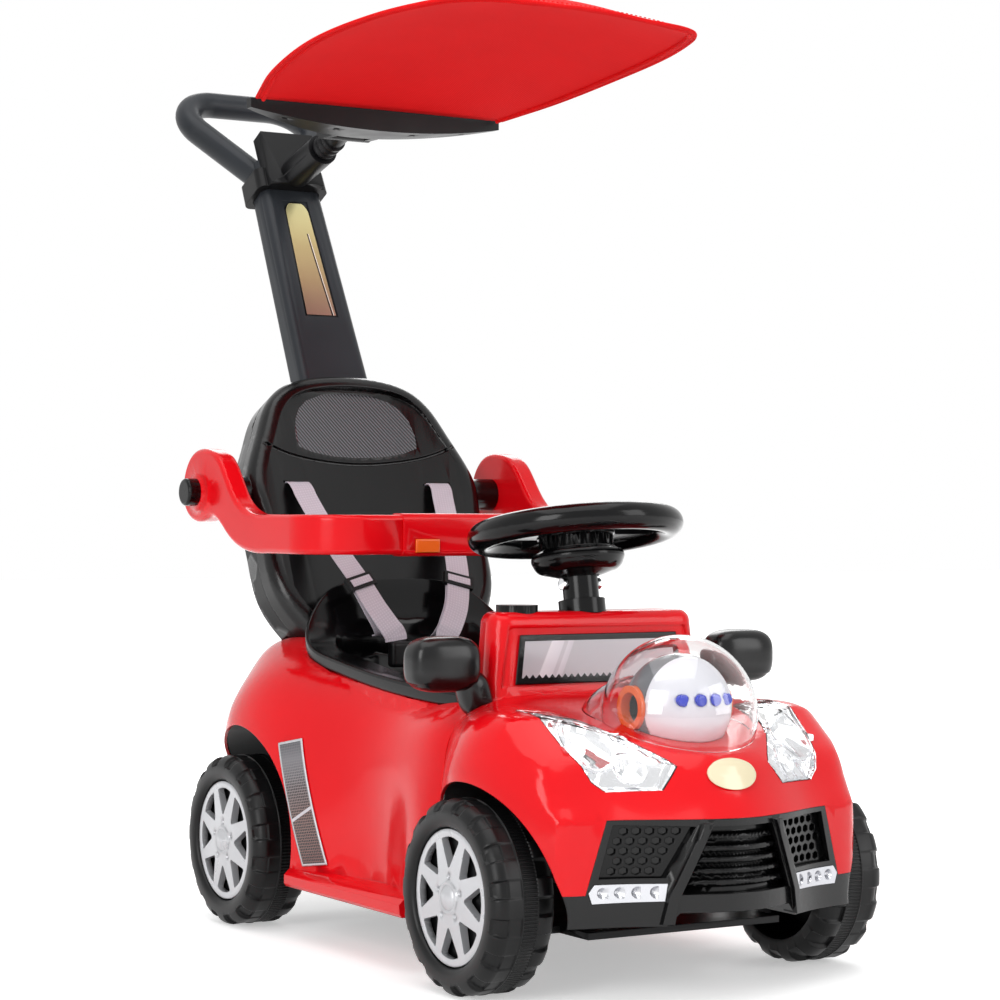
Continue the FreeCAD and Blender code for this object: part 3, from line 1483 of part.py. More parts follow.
badge = egg((0, front_y - 130, 189), (24.5, 34, 13)).common(front_solid(2.2)).cut(front_solid(0.1))
badge = max(badge.Solids, key=lambda solid: solid.Volume)
keep(feature("nose_badge", badge), "nose_badge")

# Scuttle fittings.
screen = screen_block.common(scuttle_solid(0.4)).cut(scuttle_solid(-1.6))
keep(feature("windscreen_panel", screen), "windscreen_panel")
VENT_OUTLINE = [(-76.5, 184), (-106.5, 190.5), (-152.5, 73.5), (-120.5, 69)]
rear_plain = rear_solid(0.1)
rear_grown = rear_solid(1.5)
vents = []
for _, side in SIDES:
    block = prism([(rear_y + y, z) for y, z in VENT_OUTLINE], "x", side * 100, side * 220)
    patch = block.common(rear_grown).cut(rear_plain)
    vents.append(max(patch.Solids, key=lambda solid: solid.Volume))
keep(feature("side_vents", Part.makeCompound(vents)), "side_vents")

mirror_y = front_y + 82
MIRROR = (68, 38, 48)
MIRROR_X, MIRROR_Z = 160, 274
shells = []
for _, side in SIDES:
    block = Part.makeBox(*MIRROR, Vector(-MIRROR[0] / 2, -MIRROR[1] / 2, -MIRROR[2] / 2))
    front_edges = [edge for edge in block.Edges if edge.CenterOfMass.y < 0.0]
    block = block.makeFillet(17, front_edges)
    block.translate(Vector(side * MIRROR_X, mirror_y, MIRROR_Z))
    well = Part.makeBox(
        MIRROR[0] - 12,
        6,
        MIRROR[2] - 12,
        Vector(
            side * MIRROR_X - MIRROR[0] / 2 + 6,
            mirror_y + MIRROR[1] / 2 - 4,
            MIRROR_Z - MIRROR[2] / 2 + 6,
        ),
    )
    foot_line = [Vector(side * 124, mirror_y, 222), Vector(side * 136, mirror_y, 262)]
    foot_way = foot_line[1] - foot_line[0]
    foot = Part.makeCylinder(11, foot_way.Length, foot_line[0], foot_way)
    shells.append(max(block.fuse(foot).cut(well).cut(bonnet).Solids, key=lambda solid: solid.Volume))
keep(feature("wing_mirrors", Part.makeCompound(shells)), "wing_mirrors")

# Scuttle-top button.
top_z = "scuttle_height"
button_place = ("-72", f"{FRONT_Y} + 100")
light_parts = [
    cylinder("light_crown", "light_radius", "wall + 11", (*button_place, f"{top_z} - wall - 5")),
    cylinder(
        "light_flange", "light_radius + 2", "5 - seat_gap / 2", (*button_place, f"{top_z} - wall - 5")
    ),
]
keep(fuse("light_button", light_parts), "light_button")

# Guard rail: two arms on pivots at the backrest, a front bar, latches and knobs.
ARM_TOP = [
    (-150, 19), (-112, 21), (-84, 32), (-60, 56), (-40, 76), (-10, 85), (20, 81), (38, 64), (43, 41)
]
ARM_LOW_LINE = [
    (43, 41),
    (38, 24),
    (22, 13),
    (2, 11),
    (-14, 14),
    (-28, 16),
    (-44, 10),
    (-62, -2),
    (-86, -13),
    (-115, -18.5),
    (-150, -19),
]


def arm_shape(side):
    """One arm: pivot end, sweep down to the rail, corner and the stub of the front bar."""
    scale = guard_high / 38
    top = [(side * guard_half, pivot.y + y, guard_mid + z * scale) for y, z in ARM_TOP]
    low = [(side * guard_half, pivot.y + y, guard_mid + z * scale) for y, z in ARM_LOW_LINE]
    edges = [spline(top), spline(low), Part.makeLine(Vector(*low[-1]), Vector(*top[0]))]
    sweep = Part.Face(Part.Wire(edges)).extrude(Vector(-side * guard_thick, 0, 0))
    start = pivot.y - 150
    r_out, r_in = guard_bend, guard_bend - guard_thick
    cx, cy = guard_half - guard_bend, guard_front + guard_bend
    k = math.sqrt(0.5)
    z = guard_mid - guard_high / 2

    def at(x, y):
        return Vector(side * x, y, z)

    rail = Part.Wire([
        Part.makeLine(at(guard_half, start), at(guard_half, cy)),
        Part.Arc(at(guard_half, cy), at(cx + r_out * k, cy - r_out * k), at(cx, guard_front)).toShape(),
        Part.makeLine(at(cx, guard_front), at(guard_seam, guard_front)),
        Part.makeLine(at(guard_seam, guard_front), at(guard_seam, guard_front + guard_thick)),
        Part.makeLine(at(guard_seam, guard_front + guard_thick), at(cx, guard_front + guard_thick)),
        Part.Arc(
            at(cx, guard_front + guard_thick),
            at(cx + r_in * k, cy - r_in * k),
            at(guard_half - guard_thick, cy),
        ).toShape(),
        Part.makeLine(at(guard_half - guard_thick, cy), at(guard_half - guard_thick, start)),
        Part.makeLine(at(guard_half - guard_thick, start), at(guard_half, start)),
    ])
    band = Part.Face(rail).extrude(Vector(0, 0, guard_high))
    boss = Part.makeCylinder(19, BOSS, Vector(side * guard_half, pivot.y, pivot.z), Vector(side, 0, 0))
    bore = Part.makeCylinder(
        number("guard_pin_radius + running_gap"), guard_thick + BOSS + 10,
        Vector(side * (guard_half - guard_thick - 5), pivot.y, pivot.z), Vector(side, 0, 0)
    )
    whole = sweep.fuse(band).removeSplitter()
    outside = [
        edge for edge in whole.Edges
        if edge.Length > 20 and (
            abs(edge.tangentAt((edge.FirstParameter + edge.LastParameter) / 2).z) < 0.95
        )
        and abs(edge.CenterOfMass.x) > guard_seam + 1
    ]
    whole = whole.makeFillet(5, outside)
    return whole.fuse(boss).cut(bore)


keep(feature("guard_arms", Part.makeCompound([arm_shape(side) for _, side in SIDES])), "guard_arms")

bar_grow = 1.5
bar = Part.makeBox(
    2 * guard_seam, guard_thick + 2 * bar_grow, guard_high + 2 * bar_grow,
    Vector(-guard_seam, guard_front - bar_grow, guard_mid - guard_high / 2 - bar_grow)
)
bar = bar.makeFillet(6, [edge for edge in bar.Edges if edge.Length > 100])
latch_half = number("latch_length") / 2
latch_x = 65
LATCH_HIGH, LATCH_DEEP, LATCH_OUT = 13, 9, 2
latch_z = guard_mid - guard_high / 2 + 2
for _, side in SIDES:
    bar = bar.cut(Part.makeBox(
        2 * latch_half + 2 * gap, LATCH_DEEP + 3.4 + bar_grow, LATCH_HIGH + 2 * gap,
        Vector(side * latch_x - latch_half - gap, guard_front - bar_grow, latch_z - gap)
    ))
keep(feature("guard_bar", bar), "guard_bar")
for word, side in SIDES:
    latch = Part.makeBox(
        2 * latch_half, LATCH_DEEP + LATCH_OUT, LATCH_HIGH,
        Vector(side * latch_x - latch_half, guard_front - bar_grow - LATCH_OUT, latch_z)
    )
    latch = latch.makeFillet(
        1.5,
        [edge for edge in latch.Edges if edge.CenterOfMass.y < guard_front - bar_grow - LATCH_OUT + 0.1],
    )
    keep(feature(f"guard_latch_{word}", latch), f"guard_latch_{word}")

knobs = []
for _, side in SIDES:
    knob_start = Vector(side * (guard_half + BOSS), pivot.y, pivot.z)
    knob = Part.makeCylinder(number("knob_radius"), 13, knob_start, Vector(side, 0, 0))
    rim_edges = [edge for edge in knob.Edges if abs(edge.CenterOfMass.x) > guard_half + BOSS + 12]
    knobs.append(knob.makeFillet(3, rim_edges))
keep(feature("guard_knobs", Part.makeCompound(knobs)), "guard_knobs")

# Canopy clamp on the pole, stem, holder, wire and fabric.
band_low, band_top = pole_run - 40, pole_run - 16
clamp_band = pole_block(band_low, band_top, 7).cut(pole_block(band_low - 5, band_top + 5, gap))
stem_way = Vector(0, -0.96, 0.28)
knuckle_at = Vector(0, rear_y + 128.5, number("holder_height") - 12)
stem_run = 106
stem_root = knuckle_at - stem_way * stem_run
SOCKET, STEM = 17, 11
handle_clear = pole_block(0, pole_run, gap)
mouth_wide = Part.Wire(
    Part.makeCircle(
        number("loop_tube") + gap,
        first_edge.valueAt(first_edge.FirstParameter),
        first_edge.tangentAt(first_edge.FirstParameter),
    )
)
loop_clear = path.makePipeShell([mouth_wide], True, False)
socket = Part.makeCylinder(SOCKET, 66, stem_root - stem_way * 14, stem_way)
cheek = Part.makeBox(64, 20, 66, Vector(-32, 0, 0))
cheek.Placement = FreeCAD.Placement(
    pole_point(0, pole_depth / 2 + 16, band_low), FreeCAD.Rotation(Vector(1, 0, 0), -number("pole_lean"))
)
clamp = clamp_band.fuse(socket).fuse(cheek).cut(handle_clear).cut(loop_clear)
stem_bore = Part.makeCylinder(STEM + 0.05, 80, stem_root + stem_way * 14, stem_way)
clamp = clamp.cut(stem_bore)
clamp = max(clamp.Solids, key=lambda solid: solid.Volume)
keep(feature("canopy_clamp", clamp), "canopy_clamp")
stem = Part.makeCylinder(STEM, stem_run - 14, stem_root + stem_way * 14, stem_way)
for k in range(3):
    stem = stem.fuse(Part.makeCylinder(STEM + 2.5, 4, stem_root + stem_way * (56 + 10 * k), stem_way))
EYE, EYE_HALF = 12, 20
stem = stem.fuse(
    Part.makeCylinder(EYE, 2 * EYE_HALF, knuckle_at - Vector(EYE_HALF, 0, 0), Vector(1, 0, 0))
)
stem = stem.cut(Part.makeCylinder(4 + 0.05, 100, knuckle_at - Vector(50, 0, 0), Vector(1, 0, 0)))
keep(feature("canopy_stem", stem), "canopy_stem")

canopy_half = number("canopy_half")
holder_y = rear_y + 50
holder_top = number("holder_height")
plan_front = [(-canopy_half, holder_y + 4), (0, holder_y - 5), (canopy_half, holder_y + 4)]
plan_rear = [
    (canopy_half, holder_y + 14),
    (canopy_half * 0.6, holder_y + 36),
    (0, holder_y + 54),
    (-canopy_half * 0.6, holder_y + 36),
    (-canopy_half, holder_y + 14),
]


def flat_spline(points, z):
    return spline([(x, y, z) for x, y in points])


plan = Part.Wire([
    flat_spline(plan_front, 700),
    Part.makeLine(Vector(*plan_front[-1], 700), Vector(*plan_rear[0], 700)),
    flat_spline(plan_rear, 700),
    Part.makeLine(Vector(*plan_rear[-1], 700), Vector(*plan_front[0], 700)),
])
low_line = [
    (-canopy_half - 5, holder_top - 9),
    (-canopy_half * 0.6, holder_top - 19),
    (0, holder_top - 24),
    (canopy_half * 0.6, holder_top - 19),
    (canopy_half + 5, holder_top - 9),
]
side_view = Part.Wire([
    spline([(x, holder_y - 30, z) for x, z in low_line]),
    Part.makeLine(
        Vector(low_line[-1][0], holder_y - 30, low_line[-1][1]),
        Vector(canopy_half + 5, holder_y - 30, holder_top),
    ),
    Part.makeLine(
        Vector(canopy_half + 5, holder_y - 30, holder_top),
        Vector(-canopy_half - 5, holder_y - 30, holder_top),
    ),
    Part.makeLine(
        Vector(-canopy_half - 5, holder_y - 30, holder_top),
        Vector(low_line[0][0], holder_y - 30, low_line[0][1]),
    ),
])
holder = Part.Face(plan).extrude(Vector(0, 0, 300)).common(
    Part.Face(side_view).extrude(Vector(0, 120, 0))
)
for _, side in SIDES:
    lug = Part.makeBox(
        8, 46, 22, Vector(side * (EYE_HALF + 4 + gap) - 4, holder_y + 34, holder_top - 23)
    )
    lug_eye = Part.makeCylinder(
        EYE, 8, Vector(side * (EYE_HALF + 4 + gap) - 4, knuckle_at.y, knuckle_at.z), Vector(1, 0, 0)
    )
    holder = holder.fuse(lug).fuse(lug_eye)
holder = holder.cut(
    Part.makeCylinder(
        EYE + 1.2, 2 * EYE_HALF + 2 * gap, knuckle_at - Vector(EYE_HALF + gap, 0, 0), Vector(1, 0, 0)
    )
)
stem_swing = Part.makeBox(
    2 * EYE_HALF + 2 * gap, 60, 60, Vector(-EYE_HALF - gap, knuckle_at.y - 4, knuckle_at.z - 40)
)
holder = holder.cut(stem_swing)
pin_half = EYE_HALF + gap + 8
holder_pin = Part.makeCylinder(4, 2 * pin_half, knuckle_at - Vector(pin_half, 0, 0), Vector(1, 0, 0))
holder = holder.fuse(holder_pin)
SCREW_X = [-105, -45, 45, 105]
for x in SCREW_X:
    holder = holder.cut(
        Part.makeCylinder(3.5, 26, Vector(x, holder_y + 12, holder_top - 34), Vector(0, 0, 1))
    )
canopy_holder = max(holder.Solids, key=lambda solid: solid.Volume)
keep(feature("canopy_holder", canopy_holder), "canopy_holder")

cloth = number("canopy_thickness")
reach = number("canopy_reach")
front_half_wide = number("canopy_front_half")
# Share of the reach from the holder, half width, height of the edge and rise of the crown above it.
CANOPY_STATIONS = [
    (0.0, canopy_half - 2, 2, 0.5),
    (0.18, canopy_half + 18, 11, 17),
    (0.42, canopy_half + 26, 23, 28),
    (0.66, canopy_half + 16, 30, 33),
    (0.85, front_half_wide + 31, 33, 22),
    (0.96, front_half_wide + 7, 33, 8),
    (1.0, front_half_wide * 0.64, 31, 3),
]


def canopy_height(x, half, edge, crown):
    return holder_top + edge + crown * (1 - (x / half) ** 2)


def canopy_wire_at(share, half, edge, crown, lift):
    y = holder_y - 6 - share * reach
    steps = [k / 6 - 1 for k in range(13)]
    top = [(s * half, y, canopy_height(s * half, half, edge, crown) + lift + cloth) for s in steps]
    low = [(s * half, y, canopy_height(s * half, half, edge, crown) + lift) for s in reversed(steps)]
    upper = spline(top, [s + 1 for s in steps])
    lower = spline(low, [s + 1 for s in steps])
    return Part.Wire(
        [
            upper,
            Part.makeLine(Vector(*top[-1]), Vector(*low[0])),
            lower,
            Part.makeLine(Vector(*low[-1]), Vector(*top[0])),
        ]
    )


fabric = Part.makeLoft([canopy_wire_at(*station, 0.0) for station in CANOPY_STATIONS], True, False)
keep(feature("canopy_fabric", fabric), "canopy_fabric")
HEM, WIRE = 7, 2.2
wire_points = []
for share, half, edge, crown in CANOPY_STATIONS[:-1]:
    x = half - HEM
    wire_points.append(
        (x, holder_y - 6 - share * reach, canopy_height(x, half, edge, crown) - WIRE - 0.6)
    )
share, half, edge, crown = CANOPY_STATIONS[-1]
wire_points.append(
    (
        half * 0.6,
        holder_y - 6 - share * reach + HEM,
        canopy_height(half * 0.6, half, edge, crown) - WIRE - 0.6,
    )
)
wire_points[0] = (wire_points[0][0] - 4, holder_y + 5, holder_top - 4)
mid_point = (0, holder_y - 6 - reach + HEM - 2, canopy_height(0, half, edge, crown) - WIRE - 0.8)
loop_points = [(-x, y, z) for x, y, z in wire_points] + [mid_point] + list(reversed(wire_points))
wire_path = Part.Wire([spline(loop_points)])
wire_edge = wire_path.Edges[0]
wire_ring = Part.Wire(
    Part.makeCircle(
        WIRE, wire_edge.valueAt(wire_edge.FirstParameter), wire_edge.tangentAt(wire_edge.FirstParameter)
    )
)
wire = wire_path.makePipeShell([wire_ring], True, True)
wire = wire.cut(canopy_holder).cut(fabric)
keep(feature("canopy_wire", max(wire.Solids, key=lambda solid: solid.Volume)), "canopy_wire")

# Harness: shoulder straps from the backrest slots to the buckle, with sliders.
def ribbon(points, wide, thick):
    """Flat webbing along a line of places, its width across the car."""
    wires = []
    for i, point in enumerate(points):
        before = points[max(i - 1, 0)]
        after = points[min(i + 1, len(points) - 1)]
        along = (after - before).normalize()
        across = (Vector(1, 0, 0) - along * along.x).normalize()
        out = along.cross(across).normalize()
        corners = [
            point + across * (a * wide / 2) + out * (b * thick / 2)
            for a, b in ((-1, -1), (1, -1), (1, 1), (-1, 1))
        ]
        wires.append(Part.makePolygon(corners + corners[:1]))
    return Part.makeLoft(wires, True, False)


SLOT_RUN = [24, 14, 6]
STRAP_LINE = [
    (83, 66, 437),
    (81, 57, 424),
    (75, 36, 398),
    (67, 6, 364),
    (57, -18, 336),
    (46, -32, 310),
    (34, -40, 291),
    (29, -42, 283),
    (29, -42, 277.1),
]
SLIDER_AT = 4
straps, sliders = [], []
for _, side in SIDES:
    inside = [back_place.multVec(Vector(side * slot_half, y, slot_up + SLOT_HIGH / 2)) for y in SLOT_RUN]
    line = inside + [Vector(side * x, rear_y + y, z) for x, y, z in STRAP_LINE]
    straps.append(ribbon(line, STRAP_WIDE, STRAP_THICK))
    at = len(SLOT_RUN) + SLIDER_AT
    bar_at = line[at]
    slope = (line[at + 1] - line[at - 1]).normalize()
    across = (Vector(1, 0, 0) - slope * slope.x).normalize()
    out = slope.cross(across).normalize()
    turn = FreeCAD.Rotation(across, out, slope, "ZXY")
    frame_block = Part.makeBox(STRAP_WIDE + 7, 5, 15, Vector(-(STRAP_WIDE + 7) / 2, -2.5, -7.5))
    frame_block.Placement = FreeCAD.Placement(bar_at, turn)
    sliders.append(frame_block.cut(ribbon(line, STRAP_WIDE + 1, STRAP_THICK + 0.6)))
keep(feature("harness_straps", Part.makeCompound(straps)), "harness_straps")
buckle_y = rear_y - 43
buckle = Part.makeBox(74, 13, 26, Vector(-37, buckle_y - 6.5, 250.7))
buckle = buckle.makeFillet(4, buckle.Edges)
stalk = Part.makeBox(26, 6, 40, Vector(-13, buckle_y - 3, 216)).cut(seat_solid)
stalk = max(stalk.Solids, key=lambda solid: solid.BoundBox.ZMax)
keep(feature("harness_buckles", Part.makeCompound(sliders + [buckle.fuse(stalk)])), "harness_buckles")

document.recompute()
for thing in document.Objects:
    if "Invalid" in thing.State or "Error" in thing.State:
        raise SystemExit(f"{thing.Name} did not build: {thing.State}")
for piece in PIECES:
    if piece.Shape.isNull() or not piece.Shape.isValid():
        raise SystemExit(f"{piece.Label} has no valid shape")
    piece.Shape.exportStep(f"parts/{piece.Label}.step")
print(len(PIECES), "pieces written")
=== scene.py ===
import json
import math

import bmesh
import bpy
from mathutils import Matrix, Vector
from mathutils.bvhtree import BVHTree


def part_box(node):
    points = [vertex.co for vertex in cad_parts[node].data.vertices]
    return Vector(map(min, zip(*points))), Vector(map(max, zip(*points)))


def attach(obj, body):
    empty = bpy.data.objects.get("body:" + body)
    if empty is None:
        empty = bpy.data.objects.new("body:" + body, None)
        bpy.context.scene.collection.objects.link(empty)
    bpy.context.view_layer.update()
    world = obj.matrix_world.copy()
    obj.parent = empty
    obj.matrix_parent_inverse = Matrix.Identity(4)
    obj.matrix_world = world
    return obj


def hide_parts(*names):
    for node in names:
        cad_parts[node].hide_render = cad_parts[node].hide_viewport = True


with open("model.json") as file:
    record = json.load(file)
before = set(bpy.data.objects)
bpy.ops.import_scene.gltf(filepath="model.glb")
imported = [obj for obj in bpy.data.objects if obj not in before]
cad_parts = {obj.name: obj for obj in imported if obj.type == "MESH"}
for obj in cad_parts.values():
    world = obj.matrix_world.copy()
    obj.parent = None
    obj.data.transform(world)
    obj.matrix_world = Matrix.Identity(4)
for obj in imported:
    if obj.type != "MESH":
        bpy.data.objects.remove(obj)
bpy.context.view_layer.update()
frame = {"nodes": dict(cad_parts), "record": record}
nodes = frame["nodes"]
scene = bpy.context.scene
MM = 0.001


# Small helpers

def linear(code):
    """Linear colour of an sRGB hex value."""
    parts = [int(code[i:i + 2], 16) / 255 for i in (1, 3, 5)]
    return [c / 12.92 if c <= 0.04045 else ((c + 0.055) / 1.055) ** 2.4 for c in parts] + [1.0]


def add(tree, kind, links=None, **settings):
    """Adds a shader node: settings by attribute or socket name, links as socket name to output."""
    node = tree.nodes.new(kind)
    for key, value in settings.items():
        if hasattr(node, key):
            setattr(node, key, value)
        else:
            node.inputs[key.replace("_", " ")].default_value = value
    for key, output in (links or {}).items():
        tree.links.new(output, node.inputs[key])
    return node


def material(name, colour, rough, **sockets):
    """A material with its shader node; returns it with its tree and shader."""
    made = bpy.data.materials.new(name)
    made.use_nodes = True
    tree = made.node_tree
    shader = tree.nodes["Principled BSDF"]
    shader.inputs["Base Color"].default_value = linear(colour)
    shader.inputs["Roughness"].default_value = rough
    for key, value in sockets.items():
        shader.inputs[key.replace("_", " ")].default_value = value
    return made, tree, shader


def printed(name, colour, rough, **sockets):
    """A material whose pattern follows its own print map; also returns the two shares across and up."""
    made, tree, shader = material(name, colour, rough, **sockets)
    flat = add(tree, "ShaderNodeUVMap").outputs["UV"]
    parts = add(tree, "ShaderNodeSeparateXYZ", {"Vector": flat})
    return made, tree, shader, flat, parts.outputs["X"], parts.outputs["Y"]


def sums(tree, operation, first, second=0.0, third=0.0):
    """One sum on numbers or outputs."""
    node = add(tree, "ShaderNodeMath", operation=operation)
    for i, value in enumerate((first, second, third)):
        if isinstance(value, (int, float)):
            node.inputs[i].default_value = value
        else:
            tree.links.new(value, node.inputs[i])
    return node.outputs[0]


def tint(tree, share, *stops):
    """Colours along a share from 0 to 1, as pairs of place and hex value."""
    ramp = add(tree, "ShaderNodeValToRGB", {"Fac": share})
    while len(ramp.color_ramp.elements) < len(stops):
        ramp.color_ramp.elements.new(0.5)
    for element, (place, code) in zip(ramp.color_ramp.elements, stops):
        element.position = place
        element.color = linear(code)
    return ramp.outputs["Color"]


def blended(tree, share, first, second):
    """Mix of two colours, hex values or outputs."""
    node = add(tree, "ShaderNodeMix", {"Factor": share}, data_type="RGBA")
    colours = [s for s in node.inputs if s.type == "RGBA"]
    for socket, value in zip(colours, (first, second)):
        if isinstance(value, str):
            socket.default_value = linear(value)
        else:
            tree.links.new(value, socket)
    return next(s for s in node.outputs if s.type == "RGBA")


def between(tree, value, start, end):
    """1 where the value lies between start and end, otherwise 0."""
    above = sums(tree, "GREATER_THAN", value, start)
    return sums(tree, "MULTIPLY", above, sums(tree, "LESS_THAN", value, end))


def per_metre(size):
    """Texture scale whose pattern has about this size in millimetres."""
    return 1 / (size * MM)


def bands_per_metre(step):
    """Wave texture scale whose bands lie this many millimetres apart."""
    return per_metre(step) / 20 * math.pi


def peel(tree, shader, size, height, edge=None):
    """Moulded skin: low waves of the tool and, at edges, a soft moulded radius."""
    place = add(tree, "ShaderNodeTexCoord").outputs["Object"]
    waves = add(tree, "ShaderNodeTexNoise", {"Vector": place}, Scale=per_metre(size), Detail=2.0)
    links = {"Height": waves.outputs["Fac"]}
    if edge:
        links["Normal"] = add(tree, "ShaderNodeBevel", samples=4, Radius=edge * MM).outputs["Normal"]
    bump = add(tree, "ShaderNodeBump", links, Strength=1.0, Distance=height * MM)
    tree.links.new(bump.outputs["Normal"], shader.inputs["Normal"])
    return place


def mottle(tree, shader, place, first, second, size):
    """Two near colours in broad soft patches."""
    patches = add(tree, "ShaderNodeTexNoise", {"Vector": place}, Scale=per_metre(size), Detail=3.0)
    colours = tint(tree, patches.outputs["Fac"], (0.35, first), (0.65, second))
    tree.links.new(colours, shader.inputs["Base Color"])


def polish(tree, shader, place, low, high, size):
    """Roughness that wanders between two values, as handled plastic does."""
    wear = add(tree, "ShaderNodeTexNoise", {"Vector": place}, Scale=per_metre(size), Detail=4.0)
    span = add(
        tree, "ShaderNodeMapRange", {"Value": wear.outputs["Fac"]},
        From_Min=0.3, From_Max=0.7, To_Min=low, To_Max=high,
    )
    tree.links.new(span.outputs["Result"], shader.inputs["Roughness"])


# Sizes in millimetres of the soft colour patches and of the worn patches on moulded plastic.
PATCH_SIZE, WEAR_SIZE = 160, 45


def plastic(name, colour, other, low, high, edge=1.2, size=9, height=0.05, **sockets):
    """Moulded plastic with a named colour pair, its gloss range and its edge radius in millimetres."""
    made, tree, shader = material(name, colour, low, **sockets)
    place = peel(tree, shader, size, height, edge)
    mottle(tree, shader, place, colour, other, PATCH_SIZE)
    polish(tree, shader, place, low, high, WEAR_SIZE)
    return made


# Materials

# Gloss ABS, injection moulded: clear wet highlights over an even pillar-box red.
red_abs = plastic(
    "gloss_red_abs", "#E40C17", "#DB0A15", 0.13, 0.2,
    Specular_IOR_Level=0.17, Coat_Weight=0.12, Coat_Roughness=0.05,
)
# Gloss black ABS: deep black with bright edges.
black_abs = plastic("gloss_black_abs", "#060607", "#09090A", 0.12, 0.2, Specular_IOR_Level=0.22)
# The same ABS where the mould was not polished so high: broad soft highlights.
sheen_black = plastic("semi_gloss_black_abs", "#070708", "#0A0A0B", 0.18, 0.26, Specular_IOR_Level=0.32)
# Black polypropylene, lightly grained: a soft grey sheen.
black_pp = plastic(
    "satin_black_polypropylene", "#0B0B0C", "#0F0F11", 0.32, 0.44,
    size=1.6, height=0.03, Specular_IOR_Level=0.2,
)
# Blow-moulded slate polyethylene: satin, slightly blue.
slate_pe = plastic(
    "satin_slate_polyethylene", "#222529", "#282B30", 0.33, 0.42, edge=2.0, Specular_IOR_Level=0.24,
)
# Blow-moulded black polyethylene of the wheels: near black with a dull sheen on its lugs.
wheel_pe = plastic(
    "moulded_black_polyethylene", "#09090A", "#0D0D0E", 0.3, 0.42, edge=1.0, Specular_IOR_Level=0.24,
)
# Silver lacquer on ABS: fine metal flake in a satin coat.
silver_abs = plastic(
    "silver_lacquer_on_abs", "#B9BABD", "#C4C5C8", 0.26, 0.34,
    Metallic=0.45, size=2.0, height=0.01, edge=0.8,
)
# Zinc plated steel: dull bright metal.
zinc_steel = plastic(
    "zinc_plated_steel", "#A5A6A6", "#B0B0AE", 0.3, 0.42, Metallic=1.0, size=3.0, height=0.01,
)
# Vacuum chrome on plastic: a mirror.
chrome = plastic("vacuum_chrome", "#E4E5E7", "#DEDFE2", 0.05, 0.09, Metallic=1.0, height=0.01)
# Clear polycarbonate: see-through with sharp reflections; light falls through it on to what it covers.
clear_pc, clear_tree, clear_shader = material(
    "clear_polycarbonate", "#FFFFFF", 0.02, Transmission_Weight=1.0, IOR=1.42
)
clear_ways = add(clear_tree, "ShaderNodeLightPath").outputs
let_through = add(clear_tree, "ShaderNodeBsdfTransparent", Color=linear("#F4F4F6"))
passing = sums(clear_tree, "MAXIMUM", clear_ways["Is Shadow Ray"], clear_ways["Is Diffuse Ray"])
clear_mix = add(
    clear_tree, "ShaderNodeMixShader", {0: passing, 1: clear_shader.outputs[0], 2: let_through.outputs[0]},
)
clear_tree.links.new(clear_mix.outputs[0], clear_tree.nodes["Material Output"].inputs["Surface"])
# White acrylic light diffuser: smooth and milky.
white_acrylic = plastic("white_acrylic", "#EDEDF0", "#E6E6EA", 0.14, 0.2)
# Silvered acrylic: bright cells behind a clear face.
silvered = plastic(
    "silvered_acrylic", "#C6C7CB", "#BBBCC1", 0.12, 0.18, Metallic=0.8, size=3.0, height=0.01, edge=0.6,
)
# Gloss grey ABS: an even mid grey shell.
grey_abs = plastic("gloss_grey_abs", "#66686C", "#5F6165", 0.16, 0.24)
# Blue tinted acrylic lens: deep colour under a sharp highlight.
blue_acrylic = plastic("blue_acrylic_lens", "#1238D8", "#0C2CC0", 0.06, 0.1)
# Gloss orange ABS: a bright signal colour.
orange_abs = plastic("gloss_orange_abs", "#F26A1E", "#EA5F14", 0.16, 0.24)
# Cream enamel under clear resin: a warm, wet-looking oval.
cream_enamel = plastic("cream_enamel", "#EADFBE", "#E2D5B0", 0.1, 0.16)

# Film printed to look like a windscreen: pale grey with slanted light bands and a toothed foot.
screen_print, tree, shader, flat, u, v = printed("printed_window_film", "#B7B8BC", 0.2)
SCREEN_TEETH, TOOTH_HIGH, TOOTH_FOOT = 52.0, 0.085, 0.115
slant = sums(tree, "ADD", u, sums(tree, "MULTIPLY", v, -0.1))
bands = tint(
    tree, slant,
    (0.0, "#AEAFB4"), (0.11, "#B7B8BD"), (0.115, "#DCDCE1"), (0.19, "#D2D2D8"), (0.195, "#BDBDC3"),
    (0.215, "#BDBDC3"), (0.22, "#CFCFD5"), (0.25, "#C6C6CC"), (0.255, "#B4B5BA"), (1.0, "#C4C5CA"),
)
teeth = sums(tree, "PINGPONG", sums(tree, "MULTIPLY", u, SCREEN_TEETH), 1.0)
foot = sums(tree, "LESS_THAN", v, sums(tree, "MULTIPLY_ADD", teeth, TOOTH_HIGH, TOOTH_FOOT))
tree.links.new(blended(tree, foot, bands, "#17171A"), shader.inputs["Base Color"])

# Printed mesh film: smoky top fading to a dark weave with fine red-grey cells.
vent_print, tree, shader, flat, u, v = printed("printed_mesh_film", "#3A3538", 0.22)
MESH_CELLS = (14.0, 46.0, 1.0)
WIRE_HALF, STREAK_HALF = 0.12, 0.012
counted = add(tree, "ShaderNodeMapping", {"Vector": flat}, Scale=MESH_CELLS).outputs["Vector"]
cells = add(
    tree, "ShaderNodeTexVoronoi", {"Vector": counted},
    feature="DISTANCE_TO_EDGE", Scale=1.0, Randomness=0.15,
)
wires = sums(tree, "LESS_THAN", cells.outputs["Distance"], WIRE_HALF)
ground = tint(
    tree, v, (0.0, "#1B1416"), (0.35, "#2A2022"), (0.62, "#3B3638"), (0.85, "#77767B"), (1.0, "#4A4A4E"),
)
threads = tint(tree, v, (0.0, "#7A5450"), (0.4, "#8C6E68"), (0.7, "#8F8A8C"), (1.0, "#6A6A6E"))
